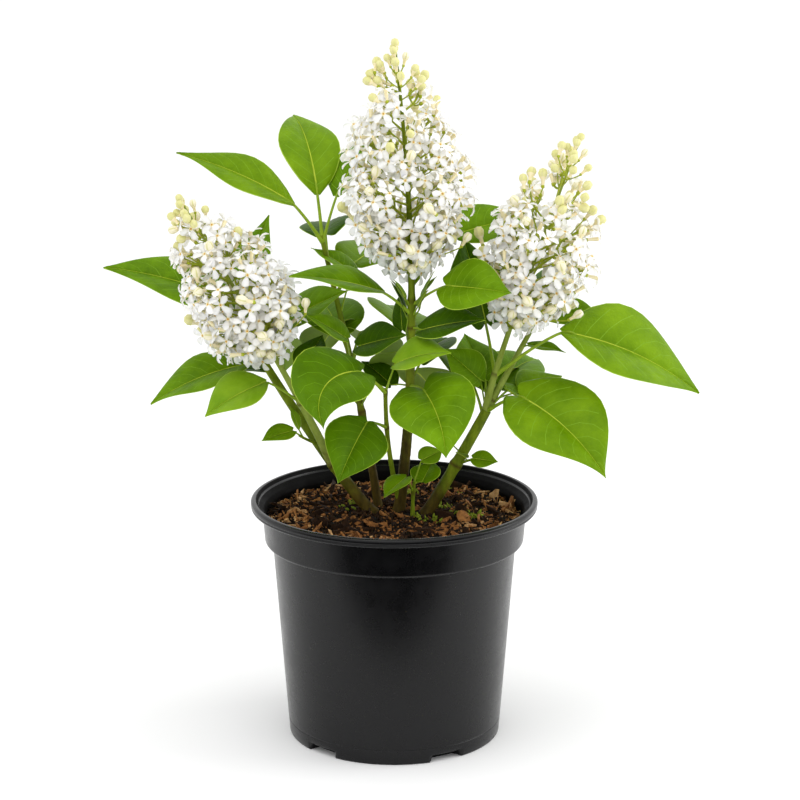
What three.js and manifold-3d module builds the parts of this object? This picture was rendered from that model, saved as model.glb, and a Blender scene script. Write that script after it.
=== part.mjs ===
// White lilac in a black nursery pot.
// Millimetres, +Z up, +Y away from the viewer, origin at the centre of the pot's underside.
import * as THREE from 'three';
import { mergeVertices } from 'three/addons/utils/BufferGeometryUtils.js';
import Module from 'manifold-3d';

const wasm = await Module();
wasm.setup();

// Driving dimensions
const CLEAR = 0.3; // gap kept between neighbouring pieces
const POT_HEIGHT = 170.5;
const POT_RIM_RADIUS = 100.5;
const POT_FOOT_RADIUS = 74.6;
const POT_SEGMENTS = 36;
const DRAIN_COUNT = 5;
const DRAIN_WIDTH = 22;
const DRAIN_HEIGHT = 5.5;
const DRAIN_DEPTH = 9;
const DRAIN_TURN = -96.6; // heading of the first drain notch, degrees
const SOIL_TOP = 160; // flat middle that the stems rise from
const SOIL_FLAT_RADIUS = 34;
const SOIL_EDGE_TOP = 157;
const LIMB_SIDES = 6;
const LIMB_RING_STEP = 18;
const FLARE_RISE = 12; // height over which a stem widens to its foot
const FLARE = 0.3;
const STALK_RADIUS = 1.1;
const STALK_SHARES = [0, 0.5, 1]; // where a leaf stalk has its rings
const BLADE_ROWS = [0, 0.12, 0.32, 0.58, 0.82];
const BLADE_THICKNESS = 0.024; // share of the blade's length, at the midrib
const BLADE_FOLD = 14; // rise of each half from the midrib, degrees
const LOBE_REACH = 0.16; // how far the heart lobes reach behind the stalk, share of length
const BLADE_WIDEST = 0.85; // power of the length: under 1 it brings the widest place nearer the foot
const BLADE_ROUNDNESS = 0.95; // power of the outline: under 1 it fills the outline out
const BLADE_TIP = 0.5; // how far the last of the outline draws in to the tip
const HEART = 0.12; // fullness of a heart-shaped base
const WEDGE = 0.03; // fullness of a base that tapers into its stalk
const GOLDEN_ANGLE = 137.5;
const FLORET_RADIUS = 12.5;
const FLORET_WAIST = 0.5; // radius between two petals, share of the floret's radius
const FLORET_TUBE = 10;
const BUD_RADIUS = 3.6;
const PEDICEL_RADIUS = 0.9;
const BUD_SHARE = 0.86; // share of the panicle's height that is open flower
const CORE_SHARE = 0.6; // radius of a panicle's dense inside, share of its outline
const CORE_SHARES = [0.14, 0.2, 0.3, 0.46, 0.62, 0.78, 0.9];

// Shoots: foot, middle and tip of each stem's centre line, with its radius at foot and tip
const SHOOTS = {
  middle: { foot: [3, 0, 158], mid: [12, 2, 311], tip: [1, 6, 482], radius: [4.2, 0.8] },
  left: { foot: [-15, 0, 158], mid: [-54, 6, 209], tip: [-97, 20, 273], radius: [4.5, 2.6] },
  leftBough: { foot: [-44, 1, 195], mid: [-79, -8, 268], tip: [-143, -12, 381], radius: [3.4, 0.6] },
  right: { foot: [22, -2, 158], mid: [43, -2, 195], tip: [64, -2, 234], radius: [4.9, 4.0] },
  rightA: { foot: [64, -2, 234], mid: [78, -2, 287], tip: [125, 2, 420], radius: [3.0, 0.6] },
  rightB: { foot: [64, -2, 234], mid: [83, 10, 266], tip: [103, 28, 298], radius: [2.6, 1.5] },
  back: { foot: [-11, 10, 158], mid: [-26, 22, 242], tip: [-51, 36, 350], radius: [3.2, 1.6] },
  front: { foot: [3, -1, 170], mid: [-4, -9, 211], tip: [-6, -16, 253], radius: [1.9, 1.4] },
  sprout: { foot: [13, -8, 158], mid: [13, -9, 172], tip: [14, -10, 185], radius: [1.5, 1.1] },
  leftTwig: { foot: [-50, 0, 208], mid: [-58, -3, 212], tip: [-66, -6, 217], radius: [1.1, 0.9] },
  rightTwig: { foot: [42, -2, 193], mid: [47, -5, 197], tip: [53, -8, 200], radius: [1.1, 0.9] },
};

// Bare limbs: the stretch of a shoot from its foot, or from another limb, to where leaves begin
const LIMBS = {
  stem_middle: { shoot: 'middle', from: 0, to: 0.24, hosts: [] },
  stem_left: { shoot: 'left', from: 0, to: 0.8, hosts: [] },
  stem_right: { shoot: 'right', from: 0, to: 0.9, hosts: [] },
  stem_back: { shoot: 'back', from: 0, to: 0.5, hosts: [] },
  bough_left: { shoot: 'leftBough', from: 0, to: 0.28, hosts: ['stem_left'] },
  bough_front: { shoot: 'front', from: 0, to: 0.55, hosts: ['stem_middle'] },
  bough_right_a: { shoot: 'rightA', from: 0.4, to: 0.52, hosts: [] },
  bough_right_b: { shoot: 'rightB', from: 0.22, to: 0.55, hosts: [] },
};

// Leaves of each foliage mass. A leaf leaves its shoot at the share "up" of the shoot's length.
// stalk and blade are [heading, pitch, length]: headings turn from +X towards +Y, pitches rise.
// roll tips the blade about its midrib, droop curls it down, bend curves it sideways,
// wide is its width as a share of its length and base the fullness of its foot.
// behind lists [shoot, up, heading] of the leaves on the far side, which follow one rule.
const FOLIAGE = {
  foliage_middle: {
    stems: [['middle', 0.24, 0.55]],
    hosts: ['stem_middle'],
    leaves: [
      {
        on: 'middle', up: 0.47, stalk: [-164, 39, 27], blade: [-164, 22, 67],
        roll: 14, droop: 20, wide: 0.64, base: 0.05,
      },
      {
        on: 'middle', up: 0.49, stalk: [-34, 31, 33], blade: [-37, 5, 52],
        roll: -46, droop: 12, wide: 0.84,
      },
      {
        on: 'middle', up: 0.44, stalk: [-55, 5, 13], blade: [-27, 20, 48],
        roll: -32, droop: 15, wide: 0.7,
      },
      { on: 'middle', up: 0.42, stalk: [142, 30, 9], blade: [106, 62, 28], roll: 60, droop: 15, wide: 0.6 },
      { on: 'middle', up: 0.53, stalk: [43, 34, 56], blade: [14, 16, 51], roll: -32, droop: 15, wide: 0.8 },
      {
        on: 'middle', up: 0.31, stalk: [-68, 7, 24], blade: [-65, -18, 62],
        roll: -24, droop: 30, wide: 1.0, base: 0.17, bend: -25,
      },
      {
        on: 'middle', up: 0.31, stalk: [135, -8, 19], blade: [138, 33, 32],
        roll: 10, droop: 20, wide: 0.8,
      },
    ],
    behind: [['middle', 0.37, 98], ['middle', 0.31, 66]],
  },
  foliage_front: {
    stems: [['front', 0.55, 1]],
    hosts: ['bough_front'],
    leaves: [
      {
        on: 'front', up: 0.97, stalk: [-150, 40, 26], blade: [-138, 12, 88],
        roll: 30, droop: 25, wide: 0.64, bend: 80,
      },
      {
        on: 'front', up: 0.97, stalk: [-45, 65, 24], blade: [-15, 30, 40],
        roll: -20, droop: 35, wide: 1.1, base: 0.1,
      },
      {
        on: 'front', up: 0.66, stalk: [-132, 21, 21], blade: [-112, -20, 58],
        roll: 25, droop: 25, wide: 0.8, base: 0.06, bend: 8,
      },
    ],
    behind: [],
  },
  foliage_right: {
    stems: [['right', 0.9, 1], ['rightA', 0, 0.4], ['rightB', 0, 0.22]],
    hosts: ['stem_right'],
    leaves: [
      {
        on: 'right', up: 0.99, stalk: [120, 70, 22], blade: [-180, 44, 34],
        roll: 50, droop: 10, wide: 0.9, base: 0.1,
      },
      {
        on: 'right', up: 0.99, stalk: [91, 69, 22], blade: [110, 35, 48],
        roll: 0, droop: 10, wide: 0.7, base: 0.04,
      },
      {
        on: 'right', up: 0.99, stalk: [-42, 28, 34], blade: [-42, -12, 92],
        roll: -26, droop: 25, wide: 0.75, base: 0.1, bend: -20,
      },
      {
        on: 'rightB', up: 0.1, stalk: [5, 16, 21], blade: [35, 16, 38],
        roll: -12, droop: 15, wide: 1.0, base: WEDGE,
      },
      {
        on: 'rightA', up: 0.33, stalk: [102, 47, 42], blade: [116, 63, 66],
        roll: 0, droop: 12, wide: 0.74,
      },
      {
        on: 'rightA', up: 0.32, stalk: [-12, 35, 58], blade: [2, -10, 107],
        roll: -28, droop: 30, wide: 0.74, base: WEDGE, bend: -10,
      },
    ],
    behind: [['right', 0.98, 62], ['right', 0.95, 112]],
  },
  foliage_right_b: {
    stems: [['rightB', 0.55, 1]],
    hosts: ['bough_right_b'],
    leaves: [
      { on: 'rightB', up: 0.95, stalk: [32, 0, 9], blade: [-16, 9, 37], roll: -30, droop: 15, wide: 0.8 },
      { on: 'rightB', up: 0.64, stalk: [-20, 20, 6], blade: [-20, 0, 27], roll: -10, droop: 15, wide: 0.6 },
    ],
    behind: [['rightB', 0.93, 66]],
  },
  foliage_left: {
    stems: [['left', 0.8, 1]],
    hosts: ['stem_left'],
    leaves: [
      {
        on: 'left', up: 0.98, stalk: [111, 46, 38], blade: [183, 26, 105],
        roll: 30, droop: 25, wide: 0.5, base: WEDGE,
      },
      { on: 'left', up: 0.98, stalk: [112, 48, 46], blade: [55, 67, 62], roll: 0, droop: 15, wide: 0.6 },
      {
        on: 'left', up: 0.97, stalk: [45, 39, 31], blade: [-28, 32, 58],
        roll: -40, droop: 10, wide: 0.64, base: 0.15,
      },
      {
        on: 'left', up: 0.98, stalk: [-144, -30, 15], blade: [-162, -6, 70],
        roll: 16, droop: 30, wide: 0.66, base: 0.08,
      },
      { on: 'left', up: 0.86, stalk: [120, 5, 13], blade: [160, 0, 38], roll: 0, droop: 15, wide: 0.7 },
    ],
    behind: [['left', 0.9, 104], ['left', 0.95, 68]],
  },
  foliage_left_bough: {
    stems: [['leftBough', 0.28, 0.5]],
    hosts: ['bough_left'],
    leaves: [
      {
        on: 'leftBough', up: 0.34, stalk: [-148, 34, 33], blade: [-155, -13, 49],
        roll: 18, droop: 25, wide: 0.9, base: 0.04,
      },
      {
        on: 'leftBough', up: 0.36, stalk: [80, 45, 26], blade: [61, 40, 32],
        roll: 0, droop: 15, wide: 0.8,
      },
    ],
    behind: [],
  },
  foliage_back: {
    stems: [['back', 0.5, 1]],
    hosts: ['stem_back'],
    leaves: [
      {
        on: 'back', up: 0.98, stalk: [-175, 53, 35], blade: [-170, 35, 88],
        roll: 32, droop: 25, wide: 0.46, base: WEDGE,
      },
      {
        on: 'back', up: 0.98, stalk: [116, 75, 35], blade: [105, 60, 90],
        roll: 0, droop: 60, wide: 0.5, base: WEDGE,
      },
      {
        on: 'back', up: 0.98, stalk: [40, 68, 35], blade: [42, 56, 57],
        roll: 0, droop: 20, wide: 0.66, base: 0.05,
      },
      { on: 'back', up: 0.76, stalk: [5, 74, 31], blade: [155, 34, 36], roll: 4, droop: 20, wide: 0.7 },
      {
        on: 'back', up: 0.58, stalk: [-75, 49, 26], blade: [-22, 21, 38],
        roll: -34, droop: 10, wide: 0.92,
      },
      { on: 'back', up: 0.58, stalk: [-98, 45, 40], blade: [185, 38, 32], roll: 22, droop: 15, wide: 0.8 },
    ],
    behind: [['back', 0.92, 96], ['back', 0.6, 118], ['back', 0.82, 56]],
  },
  sprout_soil: {
    stems: [['sprout', 0, 1]],
    hosts: [],
    leaves: [
      {
        on: 'sprout', up: 0.7, stalk: [-125, 56, 15], blade: [-137, -16, 24],
        roll: 0, droop: 20, wide: 0.9,
      },
      { on: 'sprout', up: 0.95, stalk: [-5, 13, 6], blade: [63, 37, 20], roll: 0, droop: 5, wide: 1.2 },
      { on: 'sprout', up: 0.95, stalk: [62, 50, 18], blade: [28, 19, 18], roll: -30, droop: 5, wide: 1.0 },
    ],
    behind: [],
  },
  sprout_left: {
    stems: [['leftTwig', 0, 1]],
    hosts: ['bough_left', 'stem_left'],
    leaves: [
      {
        on: 'leftTwig', up: 0.9, stalk: [-166, 36, 8], blade: [-151, -4, 24],
        roll: 22, droop: 15, wide: 0.82,
      },
      {
        on: 'leftTwig', up: 0.85, stalk: [150, 60, 6], blade: [150, 72, 18],
        roll: 10, droop: 15, wide: 0.5, base: WEDGE,
      },
    ],
    behind: [],
  },
  sprout_right: {
    stems: [['rightTwig', 0, 1]],
    hosts: ['stem_right'],
    leaves: [
      {
        on: 'rightTwig', up: 0.9, stalk: [-29, 28, 4], blade: [-26, 1, 19],
        roll: -50, droop: 10, wide: 0.74,
      },
      {
        on: 'rightTwig', up: 0.8, stalk: [-110, 45, 5], blade: [-125, 35, 14],
        roll: 0, droop: 15, wide: 0.7,
      },
    ],
    behind: [],
  },
};

// Panicles: the flowering end of a shoot, its widest radius and how many side branches it bears
const PANICLES = {
  panicle_middle: { shoot: 'middle', from: 0.55, girth: 47, widest: 0.38, branches: 50, hosts: [] },
  panicle_left: { shoot: 'leftBough', from: 0.5, girth: 39, widest: 0.34, branches: 40, hosts: [] },
  panicle_right: {
    shoot: 'rightA', from: 0.52, girth: 41, widest: 0.28, branches: 40,
    hosts: ['bough_right_a'],
  },
};

// Small helpers
const radians = THREE.MathUtils.degToRad;
const vector = (list) => new THREE.Vector3(...list);

/** A repeatable value from 0 to 1 for a whole number. */
function seeded(n) {
  const wave = Math.sin(n * 12.9898) * 43758.5453;
  return wave - Math.floor(wave);
}

/** The unit vector of a heading and a pitch in degrees. */
function direction(heading, pitch) {
  const level = Math.cos(radians(pitch));
  return new THREE.Vector3(
    level * Math.cos(radians(heading)),
    level * Math.sin(radians(heading)),
    Math.sin(radians(pitch)),
  );
}

/** The centre line of a shoot as a curve that passes its middle point halfway. */
function shootCurve(name) {
  const { foot, mid, tip } = SHOOTS[name];
  const control = vector(mid).multiplyScalar(2);
  control.addScaledVector(vector(foot), -0.5).addScaledVector(vector(tip), -0.5);
  return new THREE.QuadraticBezierCurve3(vector(foot), control, vector(tip));
}

/** The radius of a shoot at a share of its length, with a flare at a foot in the soil. */
function shootRadius(name, share) {
  const { foot, tip, radius } = SHOOTS[name];
  const rise = (tip[2] - foot[2]) * share;
  const flare = foot[2] < SOIL_TOP ? FLARE * Math.max(0, 1 - rise / FLARE_RISE) ** 2 : 0;
  return THREE.MathUtils.lerp(radius[0], radius[1], share) * (1 + flare);
}

/** A closed geometry through rings of points: a ring may have one point, or twice its neighbour's. */
function ringGeometry(rings) {
  const points = rings.flat();
  const starts = rings.map((ring, i) => rings.slice(0, i).flat().length);
  const faces = [];
  for (let i = 0; i + 1 < rings.length; i += 1) {
    const [low, high] = [rings[i].length, rings[i + 1].length];
    const count = Math.max(low, high);
    for (let j = 0; j < count; j += 1) {
      const next = (j + 1) % count;
      const a = starts[i] + Math.floor((j * low) / count);
      const b = starts[i] + Math.floor((next * low) / count);
      const c = starts[i + 1] + Math.floor((next * high) / count);
      const d = starts[i + 1] + Math.floor((j * high) / count);
      if (a !== b) faces.push([a, b, c]);
      if (c !== d) faces.push([a, c, d]);
    }
  }
  const last = rings.length - 1;
  for (let j = 1; j + 1 < rings[0].length; j += 1) {
    faces.push([0, j + 1, j]);
  }
  for (let j = 1; j + 1 < rings[last].length; j += 1) {
    faces.push([starts[last], starts[last] + j, starts[last] + j + 1]);
  }
  const geometry = new THREE.BufferGeometry().setFromPoints(points);
  geometry.setIndex(faces.flat());
  return geometry;
}

/** The signed volume of an indexed geometry. */
function signedVolume(geometry) {
  const place = geometry.getAttribute('position');
  const index = geometry.getIndex();
  const [a, b, c] = [new THREE.Vector3(), new THREE.Vector3(), new THREE.Vector3()];
  let volume = 0;
  for (let i = 0; i < index.count; i += 3) {
    a.fromBufferAttribute(place, index.getX(i));
    b.fromBufferAttribute(place, index.getX(i + 1));
    c.fromBufferAttribute(place, index.getX(i + 2));
    volume += a.dot(b.cross(c)) / 6;
  }
  return volume;
}

/** A solid from a closed geometry, turned to face outward. */
function solid(geometry) {
  geometry.deleteAttribute('normal');
  geometry.deleteAttribute('uv');
  const merged = mergeVertices(geometry, 1e-4);
  const triangles = Uint32Array.from(merged.getIndex().array);
  if (signedVolume(merged) < 0) triangles.reverse();
  const mesh = new wasm.Mesh({
    numProp: 3,
    vertProperties: Float32Array.from(merged.getAttribute('position').array),
    triVerts: triangles,
  });
  return new wasm.Manifold(mesh);
}

/** An axis that lies well away from a direction. */
function sideAxis(along) {
  return Math.abs(along.x) < 0.8 ? new THREE.Vector3(1, 0, 0) : new THREE.Vector3(0, 1, 0);
}

/** A ring of points round a place, square to a direction. Its first point lies square to aside. */
function ringAt(place, along, radius, sides, aside = sideAxis(along)) {
  const across = new THREE.Vector3().crossVectors(along, aside).normalize();
  const over = new THREE.Vector3().crossVectors(along, across);
  return Array.from({ length: sides }, (_, j) => {
    const angle = (2 * Math.PI * j) / sides;
    const point = place.clone().addScaledVector(across, radius * Math.cos(angle));
    return point.addScaledVector(over, radius * Math.sin(angle));
  });
}

/** A tapering limb along a stretch of a shoot, swollen by a margin, cut flat at the soil. */
function limb(name, from, to, margin = 0, sides = LIMB_SIDES) {
  const curve = shootCurve(name);
  const aside = sideAxis(curve.getPoint(to).sub(curve.getPoint(from)).normalize());
  const steps = Math.max(2, Math.round(((to - from) * curve.getLength()) / LIMB_RING_STEP));
  const rings = [];
  for (let i = 0; i <= steps; i += 1) {
    const share = from + ((to - from) * i) / steps;
    const radius = shootRadius(name, share) + margin;
    rings.push(ringAt(curve.getPoint(share), curve.getTangent(share), radius, sides, aside));
  }
  return solid(ringGeometry(rings)).trimByPlane([0, 0, 1], SOIL_TOP + CLEAR);
}

/** The share of a shoot that the clear gap takes. */
function gapShare(name) {
  return CLEAR / shootCurve(name).getLength();
}

/** A tapered stalk through a few points. */
function stalk(points, radius) {
  const curve = new THREE.CatmullRomCurve3(points);
  const aside = sideAxis(curve.getPoint(1).sub(curve.getPoint(0)).normalize());
  const rings = STALK_SHARES.map((share) => {
    const thickness = radius * (1 - 0.25 * share);
    return ringAt(curve.getPoint(share), curve.getTangent(share), thickness, 3, aside);
  });
  return solid(ringGeometry(rings));
}

/** The largest piece of a fused solid, with no hollow sealed inside it. */
function largestPiece(body) {
  return body.decompose().sort((a, b) => b.volume() - a.volume())[0];
}

// Leaves
/** Half the width of a blade, as a share of its widest, at a share of its length. */
function bladeHalfWidth(share, base) {
  const full = Math.sin(Math.PI * (base + (1 - base) * share ** BLADE_WIDEST)) ** BLADE_ROUNDNESS;
  return full * (1 - BLADE_TIP * share ** 5);
}

/** A point of a blade: share runs from base to tip, side from -1 to 1, lift is along its face. */
function bladePoint(leaf, foot, share, side, lift) {
  const [heading, pitch, length] = leaf.blade;
  const base = leaf.base ?? HEART;
  const along = direction(heading, pitch);
  const level = direction(heading, pitch + 90);
  const left = new THREE.Vector3().crossVectors(level, along);
  const roll = radians(leaf.roll);
  const face = level.clone().multiplyScalar(Math.cos(roll)).addScaledVector(left, Math.sin(roll));
  const across = new THREE.Vector3().crossVectors(face, along);
  const curl = radians(leaf.droop) / length;
  const bend = radians(leaf.bend ?? 0.1) / length;
  const half = 0.5 * leaf.wide * length * bladeHalfWidth(share, base) * side;
  const flat = half * Math.cos(radians(BLADE_FOLD));
  const rise = Math.abs(half) * Math.sin(radians(BLADE_FOLD)) + lift;
  const lobe = LOBE_REACH * (base / 0.22) * Math.sin(Math.PI * 0.72 * Math.abs(side)) * (1 - share) ** 3;
  const turn = bend * share * length;
  const out = Math.sin(turn) / bend - Math.sin(turn) * flat - Math.cos(turn) * lobe * length;
  const aside = (1 - Math.cos(turn)) / bend + Math.cos(turn) * flat - Math.sin(turn) * lobe * length;
  const point = foot.clone().addScaledVector(across, aside);
  point.addScaledVector(along, Math.sin(curl * out) / curl + rise * Math.sin(curl * out));
  return point.addScaledVector(face, (Math.cos(curl * out) - 1) / curl + rise * Math.cos(curl * out));
}

/** A thin blade: four points a row, thickest at the midrib, closing to a point at the tip. */
function blade(leaf, foot) {
  const half = 0.5 * BLADE_THICKNESS * leaf.blade[2];
  const rings = BLADE_ROWS.map((share) => [
    bladePoint(leaf, foot, share, -1, 0),
    bladePoint(leaf, foot, share, 0, half),
    bladePoint(leaf, foot, share, 1, 0),
    bladePoint(leaf, foot, share, 0, -half),
  ]);
  rings.push([bladePoint(leaf, foot, 1, 0, 0)]);
  return solid(ringGeometry(rings));
}

/** A leaf on its stalk, the stalk sunk into its shoot and into the blade. */
function leafSolid(leaf) {
  const root = shootCurve(leaf.on).getPoint(leaf.up);
  const foot = root.clone().addScaledVector(direction(leaf.stalk[0], leaf.stalk[1]), leaf.stalk[2]);
  const inside = bladePoint(leaf, foot, 0.12, 0, 0);
  const half = root.clone().lerp(foot, 0.55).add(new THREE.Vector3(0, 0, 0.04 * leaf.stalk[2]));
  const radius = STALK_RADIUS * THREE.MathUtils.clamp(leaf.blade[2] / 60, 0.75, 1.15);
  return blade(leaf, foot).add(stalk([root, half, foot, inside], radius));
}

/** A leaf of the far side: its heading is given and the rest follows from a seed. */
function farLeaf([on, up, heading], n) {
  const length = 52 + 18 * seeded(n);
  return {
    on,
    up,
    stalk: [heading, 34 + 14 * seeded(n + 0.3), 0.42 * length],
    blade: [heading + 24 * (seeded(n + 0.5) - 0.5), 12 + 20 * seeded(n + 0.7), length],
    roll: 40 * (seeded(n + 0.9) - 0.5),
    droop: 24 + 16 * seeded(n + 0.2),
    wide: 0.68 + 0.14 * seeded(n + 0.4),
  };
}

// Flowers
/** Radius of a panicle at a share of its height, as a share of its widest. */
function panicleOutline(share, widest) {
  if (share < widest) return 0.35 + 0.65 * Math.sin((0.5 * Math.PI * share) / widest);
  return 1 - 0.86 * ((share - widest) / (1 - widest)) ** 1.25;
}

/** Rings of an open floret: a tube that widens to four petals round a throat. */
function floretRings(foot, along, radius) {
  const face = foot.clone().addScaledVector(along, FLORET_TUBE);
  const petals = ringAt(face, along, radius, 8).map((point, j) => (
    j % 2 === 0 ? point : point.lerp(face, 1 - FLORET_WAIST)
  ));
  return [petals, [face.addScaledVector(along, -1.5)]];
}

/** Rings of a closed bud. */
function budRings(foot, along) {
  const middle = foot.clone().addScaledVector(along, 5);
  return [ringAt(middle, along, BUD_RADIUS, 4), [middle.addScaledVector(along, BUD_RADIUS)]];
}

/** The dense inside of a panicle, which its florets stand out of. */
function panicleCore(panicle) {
  const curve = shootCurve(panicle.shoot);
  const rings = CORE_SHARES.map((share) => {
    const up = panicle.from + (1 - panicle.from) * share;
    const radius = CORE_SHARE * panicle.girth * panicleOutline(share, panicle.widest);
    return ringAt(curve.getPoint(up), curve.getTangent(up), radius, 8);
  });
  return solid(ringGeometry([...rings, [curve.getPoint(1)]]));
}

/** The side branches of a panicle, wound up its axis, each with the flower at its end. */
function panicleBranches(panicle) {
  const curve = shootCurve(panicle.shoot);
  const base = curve.getPoint(panicle.from);
  const tip = curve.getPoint(1);
  const axis = tip.clone().sub(base);
  const height = axis.length();
  axis.normalize();
  const spokes = ringAt(new THREE.Vector3(), axis, 1, 4);
  return Array.from({ length: panicle.branches }, (_, i) => {
    const share = 1 - (1 - (i + 1) / panicle.branches) ** 0.62;
    const angle = radians(i * GOLDEN_ANGLE);
    const outward = spokes[0].clone().multiplyScalar(Math.cos(angle));
    outward.addScaledVector(spokes[1], Math.sin(angle));
    const reach = panicle.girth * panicleOutline(share, panicle.widest) * (0.86 + 0.14 * seeded(i));
    const lean = radians(8 + 62 * share + 14 * (seeded(i + 0.5) - 0.5));
    const along = outward.clone().multiplyScalar(Math.cos(lean)).addScaledVector(axis, Math.sin(lean));
    const open = share < BUD_SHARE;
    const length = (open ? FLORET_TUBE : 5) * Math.cos(lean);
    const foot = base.clone().addScaledVector(axis, height * share);
    foot.addScaledVector(outward, Math.max(reach - length, 2));
    const low = Math.max(share - (0.35 * reach) / height, 0.01);
    const root = curve.getPoint(panicle.from + (1 - panicle.from) * low);
    return { share, open, root, foot, along };
  });
}

/** One flowering branch: its stalk, which widens into a floret or a bud. */
function flowerSolid({ share, open, root, foot, along }) {
  const rise = foot.clone().sub(root).normalize();
  const radius = FLORET_RADIUS * (1.05 - 0.35 * share);
  const bloom = open ? floretRings(foot, along, radius) : budRings(foot, along);
  const stem = [
    ringAt(root, rise, PEDICEL_RADIUS, 4),
    ringAt(foot, rise.add(along).normalize(), 1.3 * PEDICEL_RADIUS, 4),
  ];
  return solid(ringGeometry([...stem, ...bloom]));
}

// Pot and soil
/** A solid of revolution from a profile of [radius, height] pairs. */
function turned(profile) {
  const points = profile.map(([radius, height]) => new THREE.Vector2(radius, height));
  const geometry = new THREE.LatheGeometry(points, POT_SEGMENTS);
  return solid(geometry.rotateX(Math.PI / 2));
}

/** The pot: a tapered shell with a straight collar, a rolled lip and drain notches in its foot. */
function pot() {
  const outside = [
    [0, 0],
    [POT_FOOT_RADIUS - 0.7, 0],
    [POT_FOOT_RADIUS, 0.9],
    [POT_FOOT_RADIUS + 0.7, 10.2],
    [POT_FOOT_RADIUS + 0.3, 10.6],
    [POT_FOOT_RADIUS + 0.8, 11],
    [85.3, 139.6],
    [89.4, 140.2],
    [90.7, 141.6],
    [92.5, 163.8],
    [POT_RIM_RADIUS - 0.9, 164.4],
    [POT_RIM_RADIUS, 167.6],
    [POT_RIM_RADIUS - 1.7, POT_HEIGHT],
  ];
  const inside = [
    [96.4, POT_HEIGHT],
    [95.2, 167],
    [91, 163.6],
    [89.8, 160],
    [89, 144.2],
    [88.4, 142.8],
    [83.2, 140.6],
    [72.9, 12],
    [72, 9],
    [60, 9],
    [58, 3],
    [0, 3],
  ];
  let body = turned([...outside, ...inside]);
  for (let i = 0; i < DRAIN_COUNT; i += 1) {
    const notch = new THREE.BoxGeometry(2 * DRAIN_DEPTH, DRAIN_WIDTH, 2 * DRAIN_HEIGHT);
    notch.translate(POT_FOOT_RADIUS, 0, 0);
    notch.rotateZ(radians(DRAIN_TURN + (360 * i) / DRAIN_COUNT - 36));
    body = body.subtract(solid(notch));
  }
  return body;
}

/** The compost: fills the pot and rises a little to the flat that the stems stand on. */
function soil() {
  return turned([
    [0, 3 + CLEAR],
    [58 - CLEAR, 3 + CLEAR],
    [60 - CLEAR, 9 + CLEAR],
    [71.9 - CLEAR, 9 + CLEAR],
    [72.8 - CLEAR, 12],
    [83.1 - CLEAR, 140.8],
    [88.3 - CLEAR, 143.1],
    [88.9 - CLEAR, 144.4],
    [89.4 - CLEAR, SOIL_EDGE_TOP],
    [62, SOIL_TOP - 1.2],
    [SOIL_FLAT_RADIUS, SOIL_TOP],
    [0, SOIL_TOP],
  ]);
}

// Assembly
const placed = new Map();

/** True where a solid comes too close to one that belongs to another node. */
function touchesOthers(body, owner) {
  return [...placed].some(([name, bodies]) => (
    name !== owner && bodies.some((other) => body.minGap(other, 1) < CLEAR - 0.05)
  ));
}

/** Solids of a node less the swollen limbs that it is seated on. */
function clearOfHosts(body, hosts) {
  return hosts.reduce((rest, host) => {
    const { shoot, from, to } = LIMBS[host];
    return rest.subtract(limb(shoot, from, to, CLEAR));
  }, body);
}

/** Adds to a node each solid that keeps clear of every other node. */
function place(name, bodies, hosts) {
  const list = placed.get(name) ?? [];
  placed.set(name, list);
  for (const body of bodies) {
    const seated = clearOfHosts(body, hosts);
    if (!touchesOthers(seated, name)) list.push(seated);
  }
}

placed.set('pot', [pot()]);
placed.set('soil', [soil()]);
for (const [name, { shoot, from, to, hosts }] of Object.entries(LIMBS)) {
  const start = from > 0 ? from + gapShare(shoot) : from;
  placed.set(name, [clearOfHosts(limb(shoot, start, to), hosts)]);
}
for (const [name, { stems, hosts }] of Object.entries(FOLIAGE)) {
  const bodies = stems.map(([shoot, from, to]) => {
    const start = from > 0 ? from + gapShare(shoot) : from;
    return clearOfHosts(limb(shoot, start, to), hosts);
  });
  placed.set(name, bodies);
}
for (const [name, { shoot, from }] of Object.entries(PANICLES)) {
  placed.set(name, [limb(shoot, from + gapShare(shoot), 1, 0, 5)]);
}
for (const [name, { leaves, hosts }] of Object.entries(FOLIAGE)) {
  place(name, leaves.map(leafSolid), hosts);
}
for (const [name, panicle] of Object.entries(PANICLES)) {
  place(name, [panicleCore(panicle), ...panicleBranches(panicle).map(flowerSolid)], panicle.hosts);
}
let seed = 0;
for (const [name, { behind, hosts }] of Object.entries(FOLIAGE)) {
  const leaves = behind.map((spot) => {
    seed += 1;
    return leafSolid(farLeaf(spot, seed));
  });
  place(name, leaves, hosts);
}

// Finishes
const FINISHES = {
  pot: { color: 0x17181a, roughness: 0.5, metalness: 0 },
  soil: { color: 0x3a2417, roughness: 0.95, metalness: 0 },
  stem: { color: 0x5d5134, roughness: 0.8, metalness: 0 },
  bough: { color: 0x7d8f45, roughness: 0.7, metalness: 0 },
  foliage: { color: 0x4f8a1f, roughness: 0.5, metalness: 0 },
  sprout: { color: 0x5f9a28, roughness: 0.5, metalness: 0 },
  panicle: { color: 0xf4f2e8, roughness: 0.6, metalness: 0 },
};

/** A mesh from a solid, with the finish that its name begins with. */
function meshOf(name, body) {
  const { vertProperties, triVerts } = body.getMesh();
  const geometry = new THREE.BufferGeometry();
  geometry.setAttribute('position', new THREE.BufferAttribute(Float32Array.from(vertProperties), 3));
  geometry.setIndex(new THREE.BufferAttribute(Uint32Array.from(triVerts), 1));
  geometry.computeVertexNormals();
  const material = new THREE.MeshStandardMaterial(FINISHES[name.split('_')[0]]);
  const mesh = new THREE.Mesh(geometry, material);
  mesh.name = name;
  return mesh;
}

const pottedLilac = new THREE.Group();
for (const [name, bodies] of placed) {
  pottedLilac.add(meshOf(name, largestPiece(wasm.Manifold.union(bodies))));
}

export default pottedLilac;
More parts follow.
